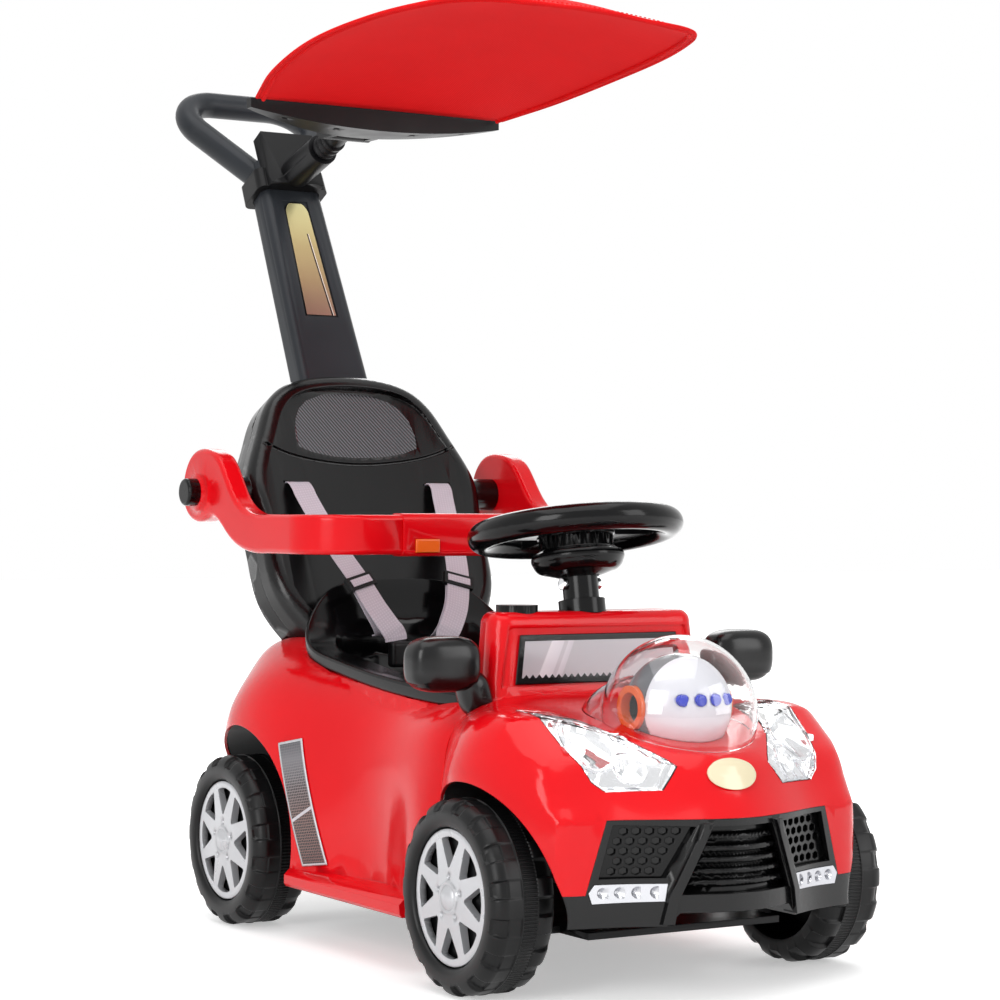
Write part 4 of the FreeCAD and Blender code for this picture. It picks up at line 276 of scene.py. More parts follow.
slash = sums(tree, "ABSOLUTE", sums(tree, "SUBTRACT", v, sums(tree, "MULTIPLY_ADD", u, 0.1, 0.36)))
streak = sums(tree, "LESS_THAN", slash, STREAK_HALF)
meshwork = blended(tree, wires, ground, threads)
tree.links.new(blended(tree, streak, meshwork, "#C9C6CC"), shader.inputs["Base Color"])

# Gold foil label: pale gold at the head, rose brown at the foot, with a dark slanted line.
gold_foil, tree, shader, flat, u, v = printed("gold_foil_label", "#A8905C", 0.24, Metallic=0.55)
# Shares of the label's width where the dark line and its bright edge end, and of its height where both stop.
DARK_END, BRIGHT_END, LINE_TOP = 0.05, 0.075, 0.72
gold = tint(
    tree, v, (0.0, "#A58172"), (0.3, "#A98C68"), (0.6, "#B5A071"), (0.85, "#C9BD88"), (1.0, "#CFC792"),
)
line = sums(tree, "SUBTRACT", u, sums(tree, "MULTIPLY_ADD", v, -0.22, 0.82))
low_part = sums(tree, "LESS_THAN", v, LINE_TOP)
dark = sums(tree, "MULTIPLY", between(tree, line, 0.0, DARK_END), low_part)
bright = sums(tree, "MULTIPLY", between(tree, line, DARK_END, BRIGHT_END), low_part)
marked = blended(tree, dark, gold, "#3A2C26")
tree.links.new(blended(tree, bright, marked, "#F1E2D6"), shader.inputs["Base Color"])

# Carbon-look film: slanted twill in greys under a clear coat.
TWILL_STEP, TWILL_SLANT = 1.6, math.radians(38)
carbon_film, tree, shader = material(
    "carbon_twill_film", "#26262A", 0.22, Coat_Weight=0.6, Coat_Roughness=0.05,
)
place = add(tree, "ShaderNodeTexCoord").outputs["Object"]
turned = add(tree, "ShaderNodeMapping", {"Vector": place}, Rotation=(0.0, TWILL_SLANT, 0.0)).outputs["Vector"]
twill = add(
    tree, "ShaderNodeTexWave", {"Vector": turned}, wave_type="BANDS", bands_direction="X",
    Scale=bands_per_metre(TWILL_STEP), Distortion=0.0,
)
greys = tint(tree, twill.outputs["Fac"], (0.3, "#141417"), (0.55, "#323237"), (0.8, "#5E5E64"))
tree.links.new(greys, shader.inputs["Base Color"])

# Lit filament bulb: white hot.
lit_bulb, tree, shader = material("lit_clear_bulb", "#FFFFFF", 0.1, Emission_Strength=5.0)
shader.inputs["Emission Color"].default_value = (1, 1, 1, 1)


def woven(name, colour, dark, thread, rough):
    """Plain weave on the piece's own map: crossing threads this many millimetres apart."""
    made, tree, shader = material(name, colour, rough, Specular_IOR_Level=0.12)
    flat = add(tree, "ShaderNodeUVMap").outputs["UV"]
    lines = []
    for way in ("X", "Y"):
        wave = add(
            tree, "ShaderNodeTexWave", {"Vector": flat}, wave_type="BANDS", bands_direction=way,
            Scale=bands_per_metre(thread), Distortion=0.4, Detail=1.0,
        )
        lines.append(wave.outputs["Fac"])
    weave = sums(tree, "MULTIPLY", *lines)
    place = add(tree, "ShaderNodeTexCoord").outputs["Object"]
    soft = add(tree, "ShaderNodeTexNoise", {"Vector": place}, Scale=per_metre(60), Detail=3.0)
    shade = sums(tree, "MULTIPLY_ADD", weave, 0.6, sums(tree, "MULTIPLY", soft.outputs["Fac"], 0.4))
    tree.links.new(tint(tree, shade, (0.1, dark), (0.7, colour)), shader.inputs["Base Color"])
    bump = add(tree, "ShaderNodeBump", {"Height": weave}, Strength=0.6, Distance=0.25 * MM)
    tree.links.new(bump.outputs["Normal"], shader.inputs["Normal"])
    return made


# Plain-woven polyester cloth: matt and even; its 0.4 mm threads are drawn at 1.2 mm so that they show.
red_cloth = woven("red_polyester_cloth", "#F4181C", "#E01416", 1.2, 0.75)
# Polyester webbing: pale grey with ribs 1.5 mm apart.
webbing = woven("grey_polyester_webbing", "#D3CDD6", "#C0B9C4", 1.5, 0.55)

FINISH = {
    "red_plastic": red_abs,
    "black_plastic": black_abs,
    "satin_black": black_pp,
    "handle_plastic": slate_pe,
    "wheel_plastic": wheel_pe,
    "silver_plastic": silver_abs,
    "steel": zinc_steel,
    "chrome_trim": chrome,
    "clear_plastic": clear_pc,
    "white_plastic": white_acrylic,
    "grey_plastic": grey_abs,
    "blue_lens": blue_acrylic,
    "orange_plastic": orange_abs,
    "cream_badge": cream_enamel,
    "gold_label": gold_foil,
    "webbing": webbing,
    "canopy_cloth": red_cloth,
}
BODY_OF = {n: body for body, members in frame["record"]["behaviour"]["bodies"].items() for n in members}
SLOT_OF = {p["node"]: p["material_slot"] for p in frame["record"]["subparts"]}


def smooth_by_angle(mesh, degrees):
    """Smooth shading with sharp edges past an angle."""
    mesh.polygons.foreach_set("use_smooth", [True] * len(mesh.polygons))
    mesh.set_sharp_from_angle(angle=math.radians(degrees))


def settle(name, mesh, finish, body, *replaced, slot=None):
    """Puts a finished mesh into the scene on its body."""
    piece = bpy.data.objects.new(name, mesh)
    scene.collection.objects.link(piece)
    if finish and not mesh.materials:
        mesh.materials.append(finish)
    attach(piece, body)
    if replaced:
        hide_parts(*replaced)
    return piece


def joined(node):
    """A merged copy of a node's mesh."""
    mesh = nodes[node].data.copy()
    mesh.materials.clear()
    work = bmesh.new()
    work.from_mesh(mesh)
    bmesh.ops.remove_doubles(work, verts=work.verts, dist=0.01 * MM)
    work.to_mesh(mesh)
    work.free()
    return mesh


SOFT_ANGLE = 32


def dress(node, finish, angle):
    """The node's own form with smooth shading."""
    mesh = joined(node)
    smooth_by_angle(mesh, angle)
    piece = settle(f"{node}_skin", mesh, finish, BODY_OF[node], node)
    even = piece.modifiers.new("even_shading", "WEIGHTED_NORMAL")
    even.keep_sharp = True


for name, thing in nodes.items():
    thing.data.materials.clear()
    thing.data.materials.append(FINISH[SLOT_OF[name]])

OWN_FORM = {
    "wing_mirrors", "windscreen_panel", "side_vents", "handle_label", "headlamp_reflectors",
    "canopy_fabric", "canopy_wire", "harness_straps",
} | {n for n in nodes if n.endswith("_wheel") and n != "steering_wheel"}
OWN_FINISH = {
    "backrest_plate": carbon_film, "bumper_lamps": silvered,
    "backrest": sheen_black, "front_bumper": sheen_black,
}
# Pieces with flat lands, shaded with sharper edges.
CRISP = {"front_bumper": 10, "bumper_lamps": 14, "canopy_holder": 20, "canopy_clamp": 22}
for name in nodes:
    if name not in OWN_FORM:
        dress(name, OWN_FINISH.get(name, FINISH[SLOT_OF[name]]), CRISP.get(name, SOFT_ANGLE))


# Forms worked in millimetres

def mesh_of(name, points, faces, tidy=True):
    """A mesh from places in millimetres, with its faces turned outwards."""
    mesh = bpy.data.meshes.new(name)
    mesh.from_pydata([[c * MM for c in p] for p in points], [], faces)
    if tidy:
        work = bmesh.new()
        work.from_mesh(mesh)
        bmesh.ops.remove_doubles(work, verts=work.verts, dist=0.01 * MM)
        bmesh.ops.recalc_face_normals(work, faces=work.faces)
        work.to_mesh(mesh)
        work.free()
    return mesh


def grid_faces(rows, columns, round_rows=False, round_columns=False):
    """Quads of a grid of places laid row by row, closed on itself where asked."""
    faces = []
    for r in range(rows if round_rows else rows - 1):
        for c in range(columns if round_columns else columns - 1):
            across = (c + 1) % columns
            here, ahead = r * columns, (r + 1) % rows * columns
            faces.append((here + c, here + across, ahead + across, ahead + c))
    return faces


def eased(value, low, high):
    """Soft step from 0 at low to 1 at high."""
    t = min(1.0, max(0.0, (value - low) / (high - low)))
    return t * t * (3 - 2 * t)


def along(stations, t):
    """Smooth value of each column of a station table at t, its first column."""
    last = len(stations) - 2
    k = max(i for i in range(last + 1) if stations[i][0] <= t or i == 0)
    a, b = stations[k], stations[k + 1]
    before = stations[max(k - 1, 0)]
    after = stations[min(k + 2, last + 1)]
    u = (t - a[0]) / (b[0] - a[0])
    values = []
    for i in range(1, len(a)):
        span = b[0] - a[0]
        slope_a = (b[i] - before[i]) / (b[0] - before[0]) * span
        slope_b = (after[i] - a[i]) / (after[0] - a[0]) * span
        values.append(
            a[i] * (2 * u ** 3 - 3 * u ** 2 + 1) + slope_a * (u ** 3 - 2 * u ** 2 + u)
            + b[i] * (3 * u ** 2 - 2 * u ** 3) + slope_b * (u ** 3 - u ** 2)
        )
    return values


# Tyres: sidewall, notched outer shoulder, seam, ribbed band, stepped inner shoulder, hollow back.
LUGS, LUG_STEPS = 16, 40
# Place across the car, radius, then how far a notch or rib moves that ring in and down, and its pattern.
TYRE_RINGS = [
    (189.5, 7, 0, 0, ""), (189.5, 58.7, 0, 0, ""), (197.5, 58.9, 0, 0, ""), (200.4, 60.0, 0, 0, ""),
    (201.8, 62.2, 0, 0, ""), (202.6, 65.6, 0, 0, ""), (202.7, 69.6, 0, 0, ""), (202.4, 72.6, 0, 0, ""),
    (202.2, 73.4, 2.4, 0.4, "tip"), (201.6, 75.4, 2.9, 0.8, "notch"), (200.2, 78.0, 2.8, 1.6, "notch"),
    (197.8, 80.4, 2.0, 2.4, "notch"), (194.8, 82.2, 1.0, 2.9, "notch"), (191.4, 83.0, 0, 2.9, "notch"),
    (189.6, 83.0, 0, 2.7, "notch"), (188.8, 82.8, 0, 0.7, "notch"), (183.0, 82.6, 0, 0.7, "notch"),
    (177.4, 82.5, 0, 0.7, "notch"), (176.9, 83.0, 0, 0, ""), (176.1, 83.0, 0, 0, ""),
    (175.6, 82.4, 0, 0, ""), (175.0, 82.4, 0, 0.9, "rib"), (162.0, 82.4, 0, 0.9, "rib"),
    (161.5, 82.4, 0, 0, ""), (160.8, 82.8, 0, 3.4, "step"), (154.0, 82.8, 0, 3.6, "step"),
    (149.0, 81.6, 0.6, 4.0, "step"), (145.2, 79.0, 1.4, 4.0, "step"), (142.6, 75.2, 1.8, 3.0, "step"),
    (141.2, 70.6, 0, 0, ""),
    (141.0, 65.0, 0, 0, ""), (142.0, 61.8, 0, 0, ""), (146.0, 60.4, 0, 0, ""), (172.0, 56.0, 0, 0, ""),
    (180.5, 51.0, 0, 0, ""), (183.5, 42.0, 0, 0, ""), (183.5, 24.0, 0, 0, ""), (176.0, 19.0, 0, 0, ""),
    (152.0, 16.0, 0, 0, ""), (150.5, 15.0, 0, 0, ""), (150.5, 7, 0, 0, ""),
]


def notch_depth(pattern, share, column):
    """How deep the pattern is at a share of one lug, from 0 to 1."""
    if pattern == "notch":
        return eased(share, 0.24, 0.29) * (1 - eased(share, 0.71, 0.76))
    if pattern == "tip":
        return eased(share, 0.31, 0.38) * (1 - eased(share, 0.62, 0.69))
    if pattern == "step":
        late = (share + 0.5) % 1.0
        return eased(late, 0.22, 0.3) * (1 - eased(late, 0.7, 0.78))
    if pattern == "rib":
        return (1.0, 0.0, 0.0, 1.0)[column % 4]
    return 0.0


def tyre(node, side):
    """Tyre and wheel body of one road wheel, turned about its axle."""
    low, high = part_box(node)
    y, z = (low.y + high.y) / 2 / MM, (low.z + high.z) / 2 / MM
    count = LUGS * LUG_STEPS
    points = []
    for x, radius, inward, down, pattern in TYRE_RINGS:
        for c in range(count):
            depth = notch_depth(pattern, (c % LUG_STEPS) / LUG_STEPS, c)
            angle = 2 * math.pi * c / count
            r = radius - down * depth
            points.append((side * (x - inward * depth), y + r * math.cos(angle), z + r * math.sin(angle)))
    mesh = mesh_of(f"{node}_tread", points, grid_faces(len(TYRE_RINGS), count, True, True))
    smooth_by_angle(mesh, 38)
    settle(f"{node}_tread", mesh, wheel_pe, BODY_OF[node], node)


for end in ("front", "rear"):
    for word, side in (("right", -1), ("left", 1)):
        tyre(f"{end}_{word}_wheel", side)


# Canopy: one curved sheet with a turned hem, sewn on to its wire.
CANOPY_REACH, CANOPY_BACK = 415, 138
HOLDER_TOP = 827
# Share of the reach, then half width, height of the edge over the holder and rise of the crown.
CANOPY_STATIONS = [
    (0.0, 145, -1.6, 0.3),
    (0.18, 165, 10, 17),
    (0.42, 173, 23, 28),
    (0.66, 163, 30, 33),
    (0.84, 142, 33, 22),
    (0.93, 122, 33, 9),
    (0.975, 98, 32, 5),
    (0.993, 74, 31, 3),
    (1.0, 48, 30.6, 2),
]
CANOPY_TWIST = math.radians(2.2)
CLOTH_THICK = 1.0


def canopy_place(share, across, lift=0.0):
    """Place on the canopy at a share of its reach and a share from -1 to 1 across it."""
    half, edge, crown = along(CANOPY_STATIONS, share)
    x = across * half
    z = HOLDER_TOP + edge + crown * (1 - across * across) + lift
    z -= x * math.sin(CANOPY_TWIST) * share
    return (x, CANOPY_BACK - share * CANOPY_REACH, z)


def canopy_sheet():
    """The cloth itself, with a lengthwise and crosswise map in metres for its weave."""
    rows, columns = 61, 41
    crowding = 1.35
    shares = [1 - (1 - r / (rows - 1)) ** crowding for r in range(rows)]
    places = [canopy_place(s, 2 * c / (columns - 1) - 1) for s in shares for c in range(columns)]
    mesh = bpy.data.meshes.new("canopy_cloth")
    mesh.from_pydata([[v * MM for v in p] for p in places], [], grid_faces(rows, columns))
    weave = mesh.uv_layers.new(name="weave")
    for loop in mesh.loops:
        place = mesh.vertices[loop.vertex_index].co
        weave.data[loop.index].uv = (place.x, place.y)
    smooth_by_angle(mesh, 60)
    cloth = settle("canopy_cloth", mesh, red_cloth, "canopy", "canopy_fabric")
    wall = cloth.modifiers.new("cloth_thickness", "SOLIDIFY")
    wall.thickness = CLOTH_THICK * MM
    wall.offset = 1.0
    area = sum(face.area for face in mesh.polygons)
    return cloth, area


def edge_line(inset, lift):
    """Places round the free edge of the canopy, a few millimetres inside it."""
    steps, front_steps, front_part = 40, 12, 0.9
    front_share = 1 - inset / CANOPY_REACH * front_part

    def side_line(side):
        line = []
        for k in range(steps + 1):
            share = 1 - (1 - k / steps) ** 2
            half = along(CANOPY_STATIONS, share)[0]
            line.append(canopy_place(min(share, front_share), side * (1 - inset / half), lift))
        return line

    shares = [1 - 2 * k / front_steps for k in range(2, front_steps - 1)]
    front = [canopy_place(front_share, across, lift) for across in shares]
    return side_line(1) + front + side_line(-1)[::-1]


def drawn_line(name, line, kind):
    """A curve through or near a line of places: the object, its curve and its run."""
    curve = bpy.data.curves.new(name, "CURVE")
    curve.dimensions = "3D"
    run = curve.splines.new(kind)
    run.points.add(len(line) - 1)
    for point, place in zip(run.points, line):
        point.co = (*[v * MM for v in place], 1)
    holder = bpy.data.objects.new(name + "_line", curve)
    scene.collection.objects.link(holder)
    return holder, curve, run


def plain_mesh(holder, name):
    """What an object shows as a plain mesh; the object itself goes."""
    bpy.context.view_layer.update()
    shown = holder.evaluated_get(bpy.context.evaluated_depsgraph_get())
    mesh = bpy.data.meshes.new_from_object(shown)
    holder.modifiers.clear()
    bpy.data.objects.remove(holder)
    mesh.name = name
    return mesh


def tube(name, line, radius, finish, body, slot, replaced=()):
    """A round bead or wire along a line of places."""
    holder, curve, run = drawn_line(name, line, "NURBS")
    run.order_u = 4
    run.use_endpoint_u = True
    run.resolution_u = 2
    curve.bevel_depth = radius * MM
    curve.bevel_resolution = 2
    curve.use_fill_caps = True
    mesh = plain_mesh(holder, name)
    mesh.materials.clear()
    smooth_by_angle(mesh, 50)
    return settle(name, mesh, finish, body, *replaced, slot=slot)


canopy, canopy_area = canopy_sheet()
# Inset from the edge, lift over the cloth and radius of the hem's piping and of the wire's sleeve.
PIPING = (0.0, 0.5, 2.0)
WIRE_SLEEVE = (7.0, -1.4, 2.3)
bead = tube("canopy_piping", edge_line(*PIPING[:2]), PIPING[2], red_cloth, "canopy", "canopy_cloth")
tube(
    "canopy_wire_sleeve", edge_line(*WIRE_SLEEVE[:2]), WIRE_SLEEVE[2], red_cloth, "canopy", None,
    replaced=("canopy_wire",),
)


# Seam round the canopy: a row of stitches on each face, holding the wire's sleeve.
SEAM_INSET, STITCH_LONG, STITCH_STEP, STITCH_THICK = 11.0, 3.2, 5.0, 0.9


def stitched(name, line, long, step, finish, body, slot):
    """Stitches along a line, set out and realised by geometry nodes."""
    holder = drawn_line(name, line, "POLY")[0]
    tree = bpy.data.node_groups.new(name, "GeometryNodeTree")
    tree.interface.new_socket("Geometry", in_out="INPUT", socket_type="NodeSocketGeometry")
    tree.interface.new_socket("Geometry", in_out="OUTPUT", socket_type="NodeSocketGeometry")
    for word, value in (("Stitch length", long * MM), ("Stitch step", step * MM)):
        socket = tree.interface.new_socket(word, in_out="INPUT", socket_type="NodeSocketFloat")
        socket.default_value = value
    given = add(tree, "NodeGroupInput")
    spots = add(
        tree, "GeometryNodeCurveToPoints",
        {"Curve": given.outputs["Geometry"], "Length": given.outputs["Stitch step"]}, mode="LENGTH",
    )
    thread = add(tree, "GeometryNodeMeshUVSphere", Segments=8, Rings=6, Radius=0.5)
    size = add(
        tree, "ShaderNodeCombineXYZ", {"Z": given.outputs["Stitch length"]},
        X=STITCH_THICK * MM, Y=STITCH_THICK * MM,
    )
    shaped = add(
        tree, "GeometryNodeTransform", {"Geometry": thread.outputs["Mesh"], "Scale": size.outputs["Vector"]}
    )
    placed = add(
        tree, "GeometryNodeInstanceOnPoints",
        {
            "Points": spots.outputs["Points"], "Instance": shaped.outputs["Geometry"],
            "Rotation": spots.outputs["Rotation"],
        },
    )
    real = add(tree, "GeometryNodeRealizeInstances", {"Geometry": placed.outputs["Instances"]})
    dyed = add(tree, "GeometryNodeSetMaterial", {"Geometry": real.outputs["Geometry"]}, Material=finish)
    given_out = add(tree, "NodeGroupOutput")
    tree.links.new(dyed.outputs["Geometry"], given_out.inputs["Geometry"])
    row = holder.modifiers.new(name, "NODES")
    row.node_group = tree
    mesh = plain_mesh(holder, name)
    smooth_by_angle(mesh, 60)
    settle(name, mesh, finish, body, slot=slot)


for word, lift in (("under", -0.1), ("over", CLOTH_THICK + 0.1)):
    stitched(
        f"canopy_stitches_{word}", edge_line(SEAM_INSET, lift), STITCH_LONG, STITCH_STEP,
        red_cloth, "canopy", "canopy_cloth",
    )


# Harness: flat webbing from the backrest's slots to the buckle, with a loose tail in front of it.
STRAP_WIDE, STRAP_THICK = 25, 1.3
STRAP_RUN = [
    (84, 180.2, 432.3), (84, 173.0, 435.6), (83.2, 164.0, 436.6), (82.4, 156.0, 431.0),
    (80.6, 149.0, 421.0), (75.4, 130.0, 398.0), (67.0, 100.0, 364.0), (57.0, 76.0, 336.0),
    (47.0, 61.0, 311.0), (36.0, 53.4, 292.0), (30.0, 52.0, 283.0), (29.0, 52.0, 277.4),
]
TAIL_RUN = [
    (56.6, 78.6, 335.0), (48.0, 66.6, 311.0), (38.6, 62.0, 293.0), (34.0, 65.0, 284.0), (35.6, 72.0, 281.0),
]
# Short turn of webbing that comes out over each slider's bar.
SLIDER_TURN = [
    (58.2, 78.3, 339.1), (57.6, 77.2, 337.6), (57.0, 76.0, 336.0), (56.4, 74.8, 334.4), (55.8, 73.7, 332.9),
]
SLIDER_LIFT = 2.6
# Section of the webbing in shares of its width and thickness, with its edges rounded off.
STRAP_SECTION = [
    (-0.5, 0), (-0.485, -0.5), (-0.25, -0.5), (0, -0.5), (0.25, -0.5), (0.485, -0.5),
    (0.5, 0), (0.485, 0.5), (0.25, 0.5), (0, 0.5), (-0.25, 0.5), (-0.485, 0.5),
]
STEPS_BETWEEN = 8


def webbing_strip(name, line, side, drop=0.0):
    """Ribbon of webbing along a line of places, its width across the car."""
    spans = len(line) - 1
    steps = STEPS_BETWEEN * spans + 1
    stations = [(i, *p) for i, p in enumerate(line)]
    just_inside = spans - 0.0001
    places = [Vector(along(stations, min(spans * k / (steps - 1), just_inside))) for k in range(steps)]
    points, maps, run = [], [], 0.0
    for k, here in enumerate(places):
        before, after = places[max(k - 1, 0)], places[min(k + 1, steps - 1)]
        way = (after - before).normalized()
        flat = (Vector((1, 0, 0)) - way * way.x).normalized()
        out = way.cross(flat)
        run += (here - before).length
        for a, b in STRAP_SECTION:
            p = here + flat * (a * STRAP_WIDE) + out * (b * STRAP_THICK + drop)
            points.append((side * p.x, p.y, p.z))
            maps.append((a * STRAP_WIDE * MM, run * MM))
    count = len(STRAP_SECTION)
    faces = grid_faces(steps, count, False, True)
    faces += [tuple(range(count)), tuple((steps - 1) * count + c for c in range(count))]
    mesh = mesh_of(name, points, faces)
    layer = mesh.uv_layers.new(name="weave")
    for loop in mesh.loops:
        layer.data[loop.index].uv = maps[loop.vertex_index]
    smooth_by_angle(mesh, 50)
    return mesh


def one_mesh(name, parts):
    """Several meshes as one."""
    work = bmesh.new()
    for part in parts:
        work.from_mesh(part)
    whole = bpy.data.meshes.new(name)
    work.to_mesh(whole)
    work.free()
    return whole


strap_parts = []
for side in (-1, 1):
    strap_parts.append(webbing_strip("strap", STRAP_RUN, side))
    strap_parts.append(webbing_strip("tail", TAIL_RUN, side))
    strap_parts.append(webbing_strip("turn", SLIDER_TURN, side, SLIDER_LIFT))
straps = one_mesh("shoulder_straps", strap_parts)
smooth_by_angle(straps, 50)
settle("shoulder_straps", straps, webbing, "chassis", "harness_straps")


# Wing mirrors: rounded shells on swept feet, with a bright face to the rear.

def swell(value, power):
    """Power of a sine or cosine that keeps its sign: below 1 it squares a round form."""
    return math.copysign(abs(value) ** power, value)


def rounded_form(centre, half, powers, rows=28, columns=56):
    """Rounded box form about a centre."""
    points = []
    for r in range(rows):
        tilt = math.pi * ((r + 0.5) / rows - 0.5)
        wide, high = swell(math.cos(tilt), powers[0]), swell(math.sin(tilt), powers[0])
        for c in range(columns):
            turn = 2 * math.pi * c / columns
            points.append((
                centre[0] + half[0] * wide * swell(math.cos(turn), powers[1]),
                centre[1] + half[1] * wide * swell(math.sin(turn), powers[1]),
                centre[2] + half[2] * high,
            ))
    faces = grid_faces(rows, columns, False, True)
    faces += [tuple(range(columns)), tuple((rows - 1) * columns + c for c in range(columns))]
    return points, faces


MIRROR_X, MIRROR_Y, MIRROR_Z = 160, -267.5, 274
MIRROR_HALF = (34, 20, 24.5)
# The shell is cut flat at its face, and steps in below its lip.
MIRROR_FACE, MIRROR_LIP, LIP_STEP = 13.0, 257, 0.955
MIRROR_FOOT_X, MIRROR_FOOT_Z, MIRROR_FOOT_HALF = 131, 247, (15, 15, 21)
# The foot sweeps inwards by this share of its way down from the shell.
FOOT_SWEEP, FOOT_TOP = 0.25, 262
MIRROR_GLASS_X, MIRROR_GLASS_Z, MIRROR_GLASS_HALF = 161, 275, (28, 0.9, 18)
MIRROR_ANGLE = 40


def mirror_shell(side):
    """Shell of one mirror with its lip and flat face."""
    middle = (side * MIRROR_X, MIRROR_Y, MIRROR_Z)
    form, faces = rounded_form(middle, MIRROR_HALF, (0.62, 0.6), rows=44, columns=72)
    lipped = []
    for x, y, z in form:
        inward = LIP_STEP if z < MIRROR_LIP else 1.0
        x = side * MIRROR_X + (x - side * MIRROR_X) * inward
        y = MIRROR_Y + min((y - MIRROR_Y) * inward, MIRROR_FACE)
        lipped.append((x, y, z))
    return mesh_of("shell", lipped, faces)


def mirror_foot(side):
    """Swept foot that carries the shell."""
    middle = (side * MIRROR_FOOT_X, MIRROR_Y + 1, MIRROR_FOOT_Z)
    form, faces = rounded_form(middle, MIRROR_FOOT_HALF, (0.7, 0.8))
    swept = [(x - side * FOOT_SWEEP * (FOOT_TOP - z), y, z) for x, y, z in form]
    return mesh_of("foot", swept, faces)


for word, side in (("right", -1), ("left", 1)):
    mesh = one_mesh(f"mirror_{word}", [mirror_shell(side), mirror_foot(side)])
    smooth_by_angle(mesh, MIRROR_ANGLE)
    settle(f"mirror_{word}", mesh, sheen_black, "chassis", "wing_mirrors")
    middle = (side * MIRROR_GLASS_X, MIRROR_Y + MIRROR_FACE + 0.2, MIRROR_GLASS_Z)
    glass, glass_faces = rounded_form(middle, MIRROR_GLASS_HALF, (0.6, 0.6), rows=20, columns=48)
    mesh = mesh_of(f"mirror_face_{word}", glass, glass_faces)
    smooth_by_angle(mesh, MIRROR_ANGLE)
    settle(f"mirror_face_{word}", mesh, chrome, "chassis", slot="chrome_trim")


# Printed and plated panels laid over the forms that carry them.

def surface_of(node):
    """A search tree of a node's faces, for laying pieces on its surface."""
    mesh = nodes[node].data
    return BVHTree.FromPolygons([v.co for v in mesh.vertices], [tuple(p.vertices) for p in mesh.polygons])


def backed(piece, thick):
    """Gives a thin sheet its thickness, behind its face."""
    wall = piece.modifiers.new("thickness", "SOLIDIFY")
    wall.thickness = thick * MM
    wall.offset = -1.0


# Thickness of a film in millimetres, and how far out, in metres, its seat is looked for from.
FILM_THICK, LOOK_FROM = 0.8, 0.4


def laid(name, node, outline, way, lift, rows, columns, border, finishes):
    """Sheet laid on a node, found by looking along way.

    outline gives a place in millimetres for two shares, across and up. Faces within border millimetres
    of the edge take the first finish, the others the second."""
    tree = surface_of(node)
    way = Vector(way)
    points, maps = [], []
    for r in range(rows):
        for c in range(columns):
            place = Vector(outline(c / (columns - 1), r / (rows - 1))) * MM
            hit = tree.ray_cast(place - way * LOOK_FROM, way)[0]
            near = hit if hit else tree.find_nearest(place)[0]
            points.append(tuple((near - way * lift * MM) / MM))
            maps.append((c / (columns - 1), r / (rows - 1)))
    mesh = mesh_of(name, points, grid_faces(rows, columns), tidy=False)
    layer = mesh.uv_layers.new(name="print")
    for loop in mesh.loops:
        layer.data[loop.index].uv = maps[loop.vertex_index]
    for finish in finishes:
        mesh.materials.append(finish)
    wide = (Vector(points[columns - 1]) - Vector(points[0])).length
    high = (Vector(points[(rows - 1) * columns]) - Vector(points[0])).length
    for face in mesh.polygons:
        u = sum(maps[v][0] for v in face.vertices) / 4
        v = sum(maps[v][1] for v in face.vertices) / 4
        near = min(u * wide, (1 - u) * wide, v * high, (1 - v) * high)
        face.material_index = 0 if near < border else 1
        if face.normal.dot(way) > 0:
            face.flip()
    smooth_by_angle(mesh, 40)
    backed(settle(name, mesh, None, BODY_OF[node], node), FILM_THICK)


SCREEN_HALF, SCREEN_TAPER, SCREEN_Y, SCREEN_FOOT, SCREEN_HIGH, SCREEN_BORDER = 90, 6, -300, 254, 44, 5.5


def windscreen_place(u, v):
    """Upright panel, narrower at its top."""
    half = SCREEN_HALF - SCREEN_TAPER * v
    return (-half + 2 * half * u, SCREEN_Y, SCREEN_FOOT + SCREEN_HIGH * v)


laid(
    "windscreen_print", "windscreen_panel", windscreen_place, (0, 1, 0),
    lift=0.25, rows=40, columns=120, border=SCREEN_BORDER, finishes=[black_abs, screen_print],
)

# Place along the car and height of the vent's corners: low rear, low front, top rear, top front.
VENT_CORNERS = ((-26.7, 69.4), (-58.1, 73.8), (17.1, 183.6), (-12.3, 190.0))
VENT_X, VENT_BORDER = 300, 2.6


def vent_outline(side):
    """The slanted four-sided vent of one side."""
    def place(u, v):
        (ay, az), (by, bz), (cy, cz), (dy, dz) = VENT_CORNERS
        low = (ay + (by - ay) * u, az + (bz - az) * u)
        top = (cy + (dy - cy) * u, cz + (dz - cz) * u)
        return (side * VENT_X, low[0] + (top[0] - low[0]) * v, low[1] + (top[1] - low[1]) * v)
    return place


for word, side in (("right", -1), ("left", 1)):
    laid(
        f"vent_{word}", "side_vents", vent_outline(side), (-side, 0, 0),
        lift=0.3, rows=110, columns=32, border=VENT_BORDER, finishes=[silver_abs, vent_print],
    )

# Foot of the handle's pole along the car and up, its lean, and the label's ends measured up the pole.
POLE_FOOT, POLE_LEAN = (217, 470), math.radians(27)
LABEL_LOW, LABEL_TOP = 158, 306
LABEL_HALF, LABEL_TAPER, LABEL_BORDER = 20, 5, 2.6
# The label is looked for from this far in front of and above the pole's middle line.
LABEL_AHEAD, LABEL_ABOVE = 60, 30


def label_place(u, v):
    """Tapered label with a rounded head, up the front of the pole."""
    t = LABEL_LOW + (LABEL_TOP - LABEL_LOW) * v
    half = LABEL_HALF - LABEL_TAPER * v
    head = max(0.0, (t - (LABEL_TOP - half)) / half)
    half *= math.sqrt(max(0.0, 1 - head * head)) if head < 1 else 0.0
    y = POLE_FOOT[0] + t * math.sin(POLE_LEAN) - LABEL_AHEAD
    z = POLE_FOOT[1] + t * math.cos(POLE_LEAN) + LABEL_ABOVE
    return (-half + 2 * half * u, y, z)


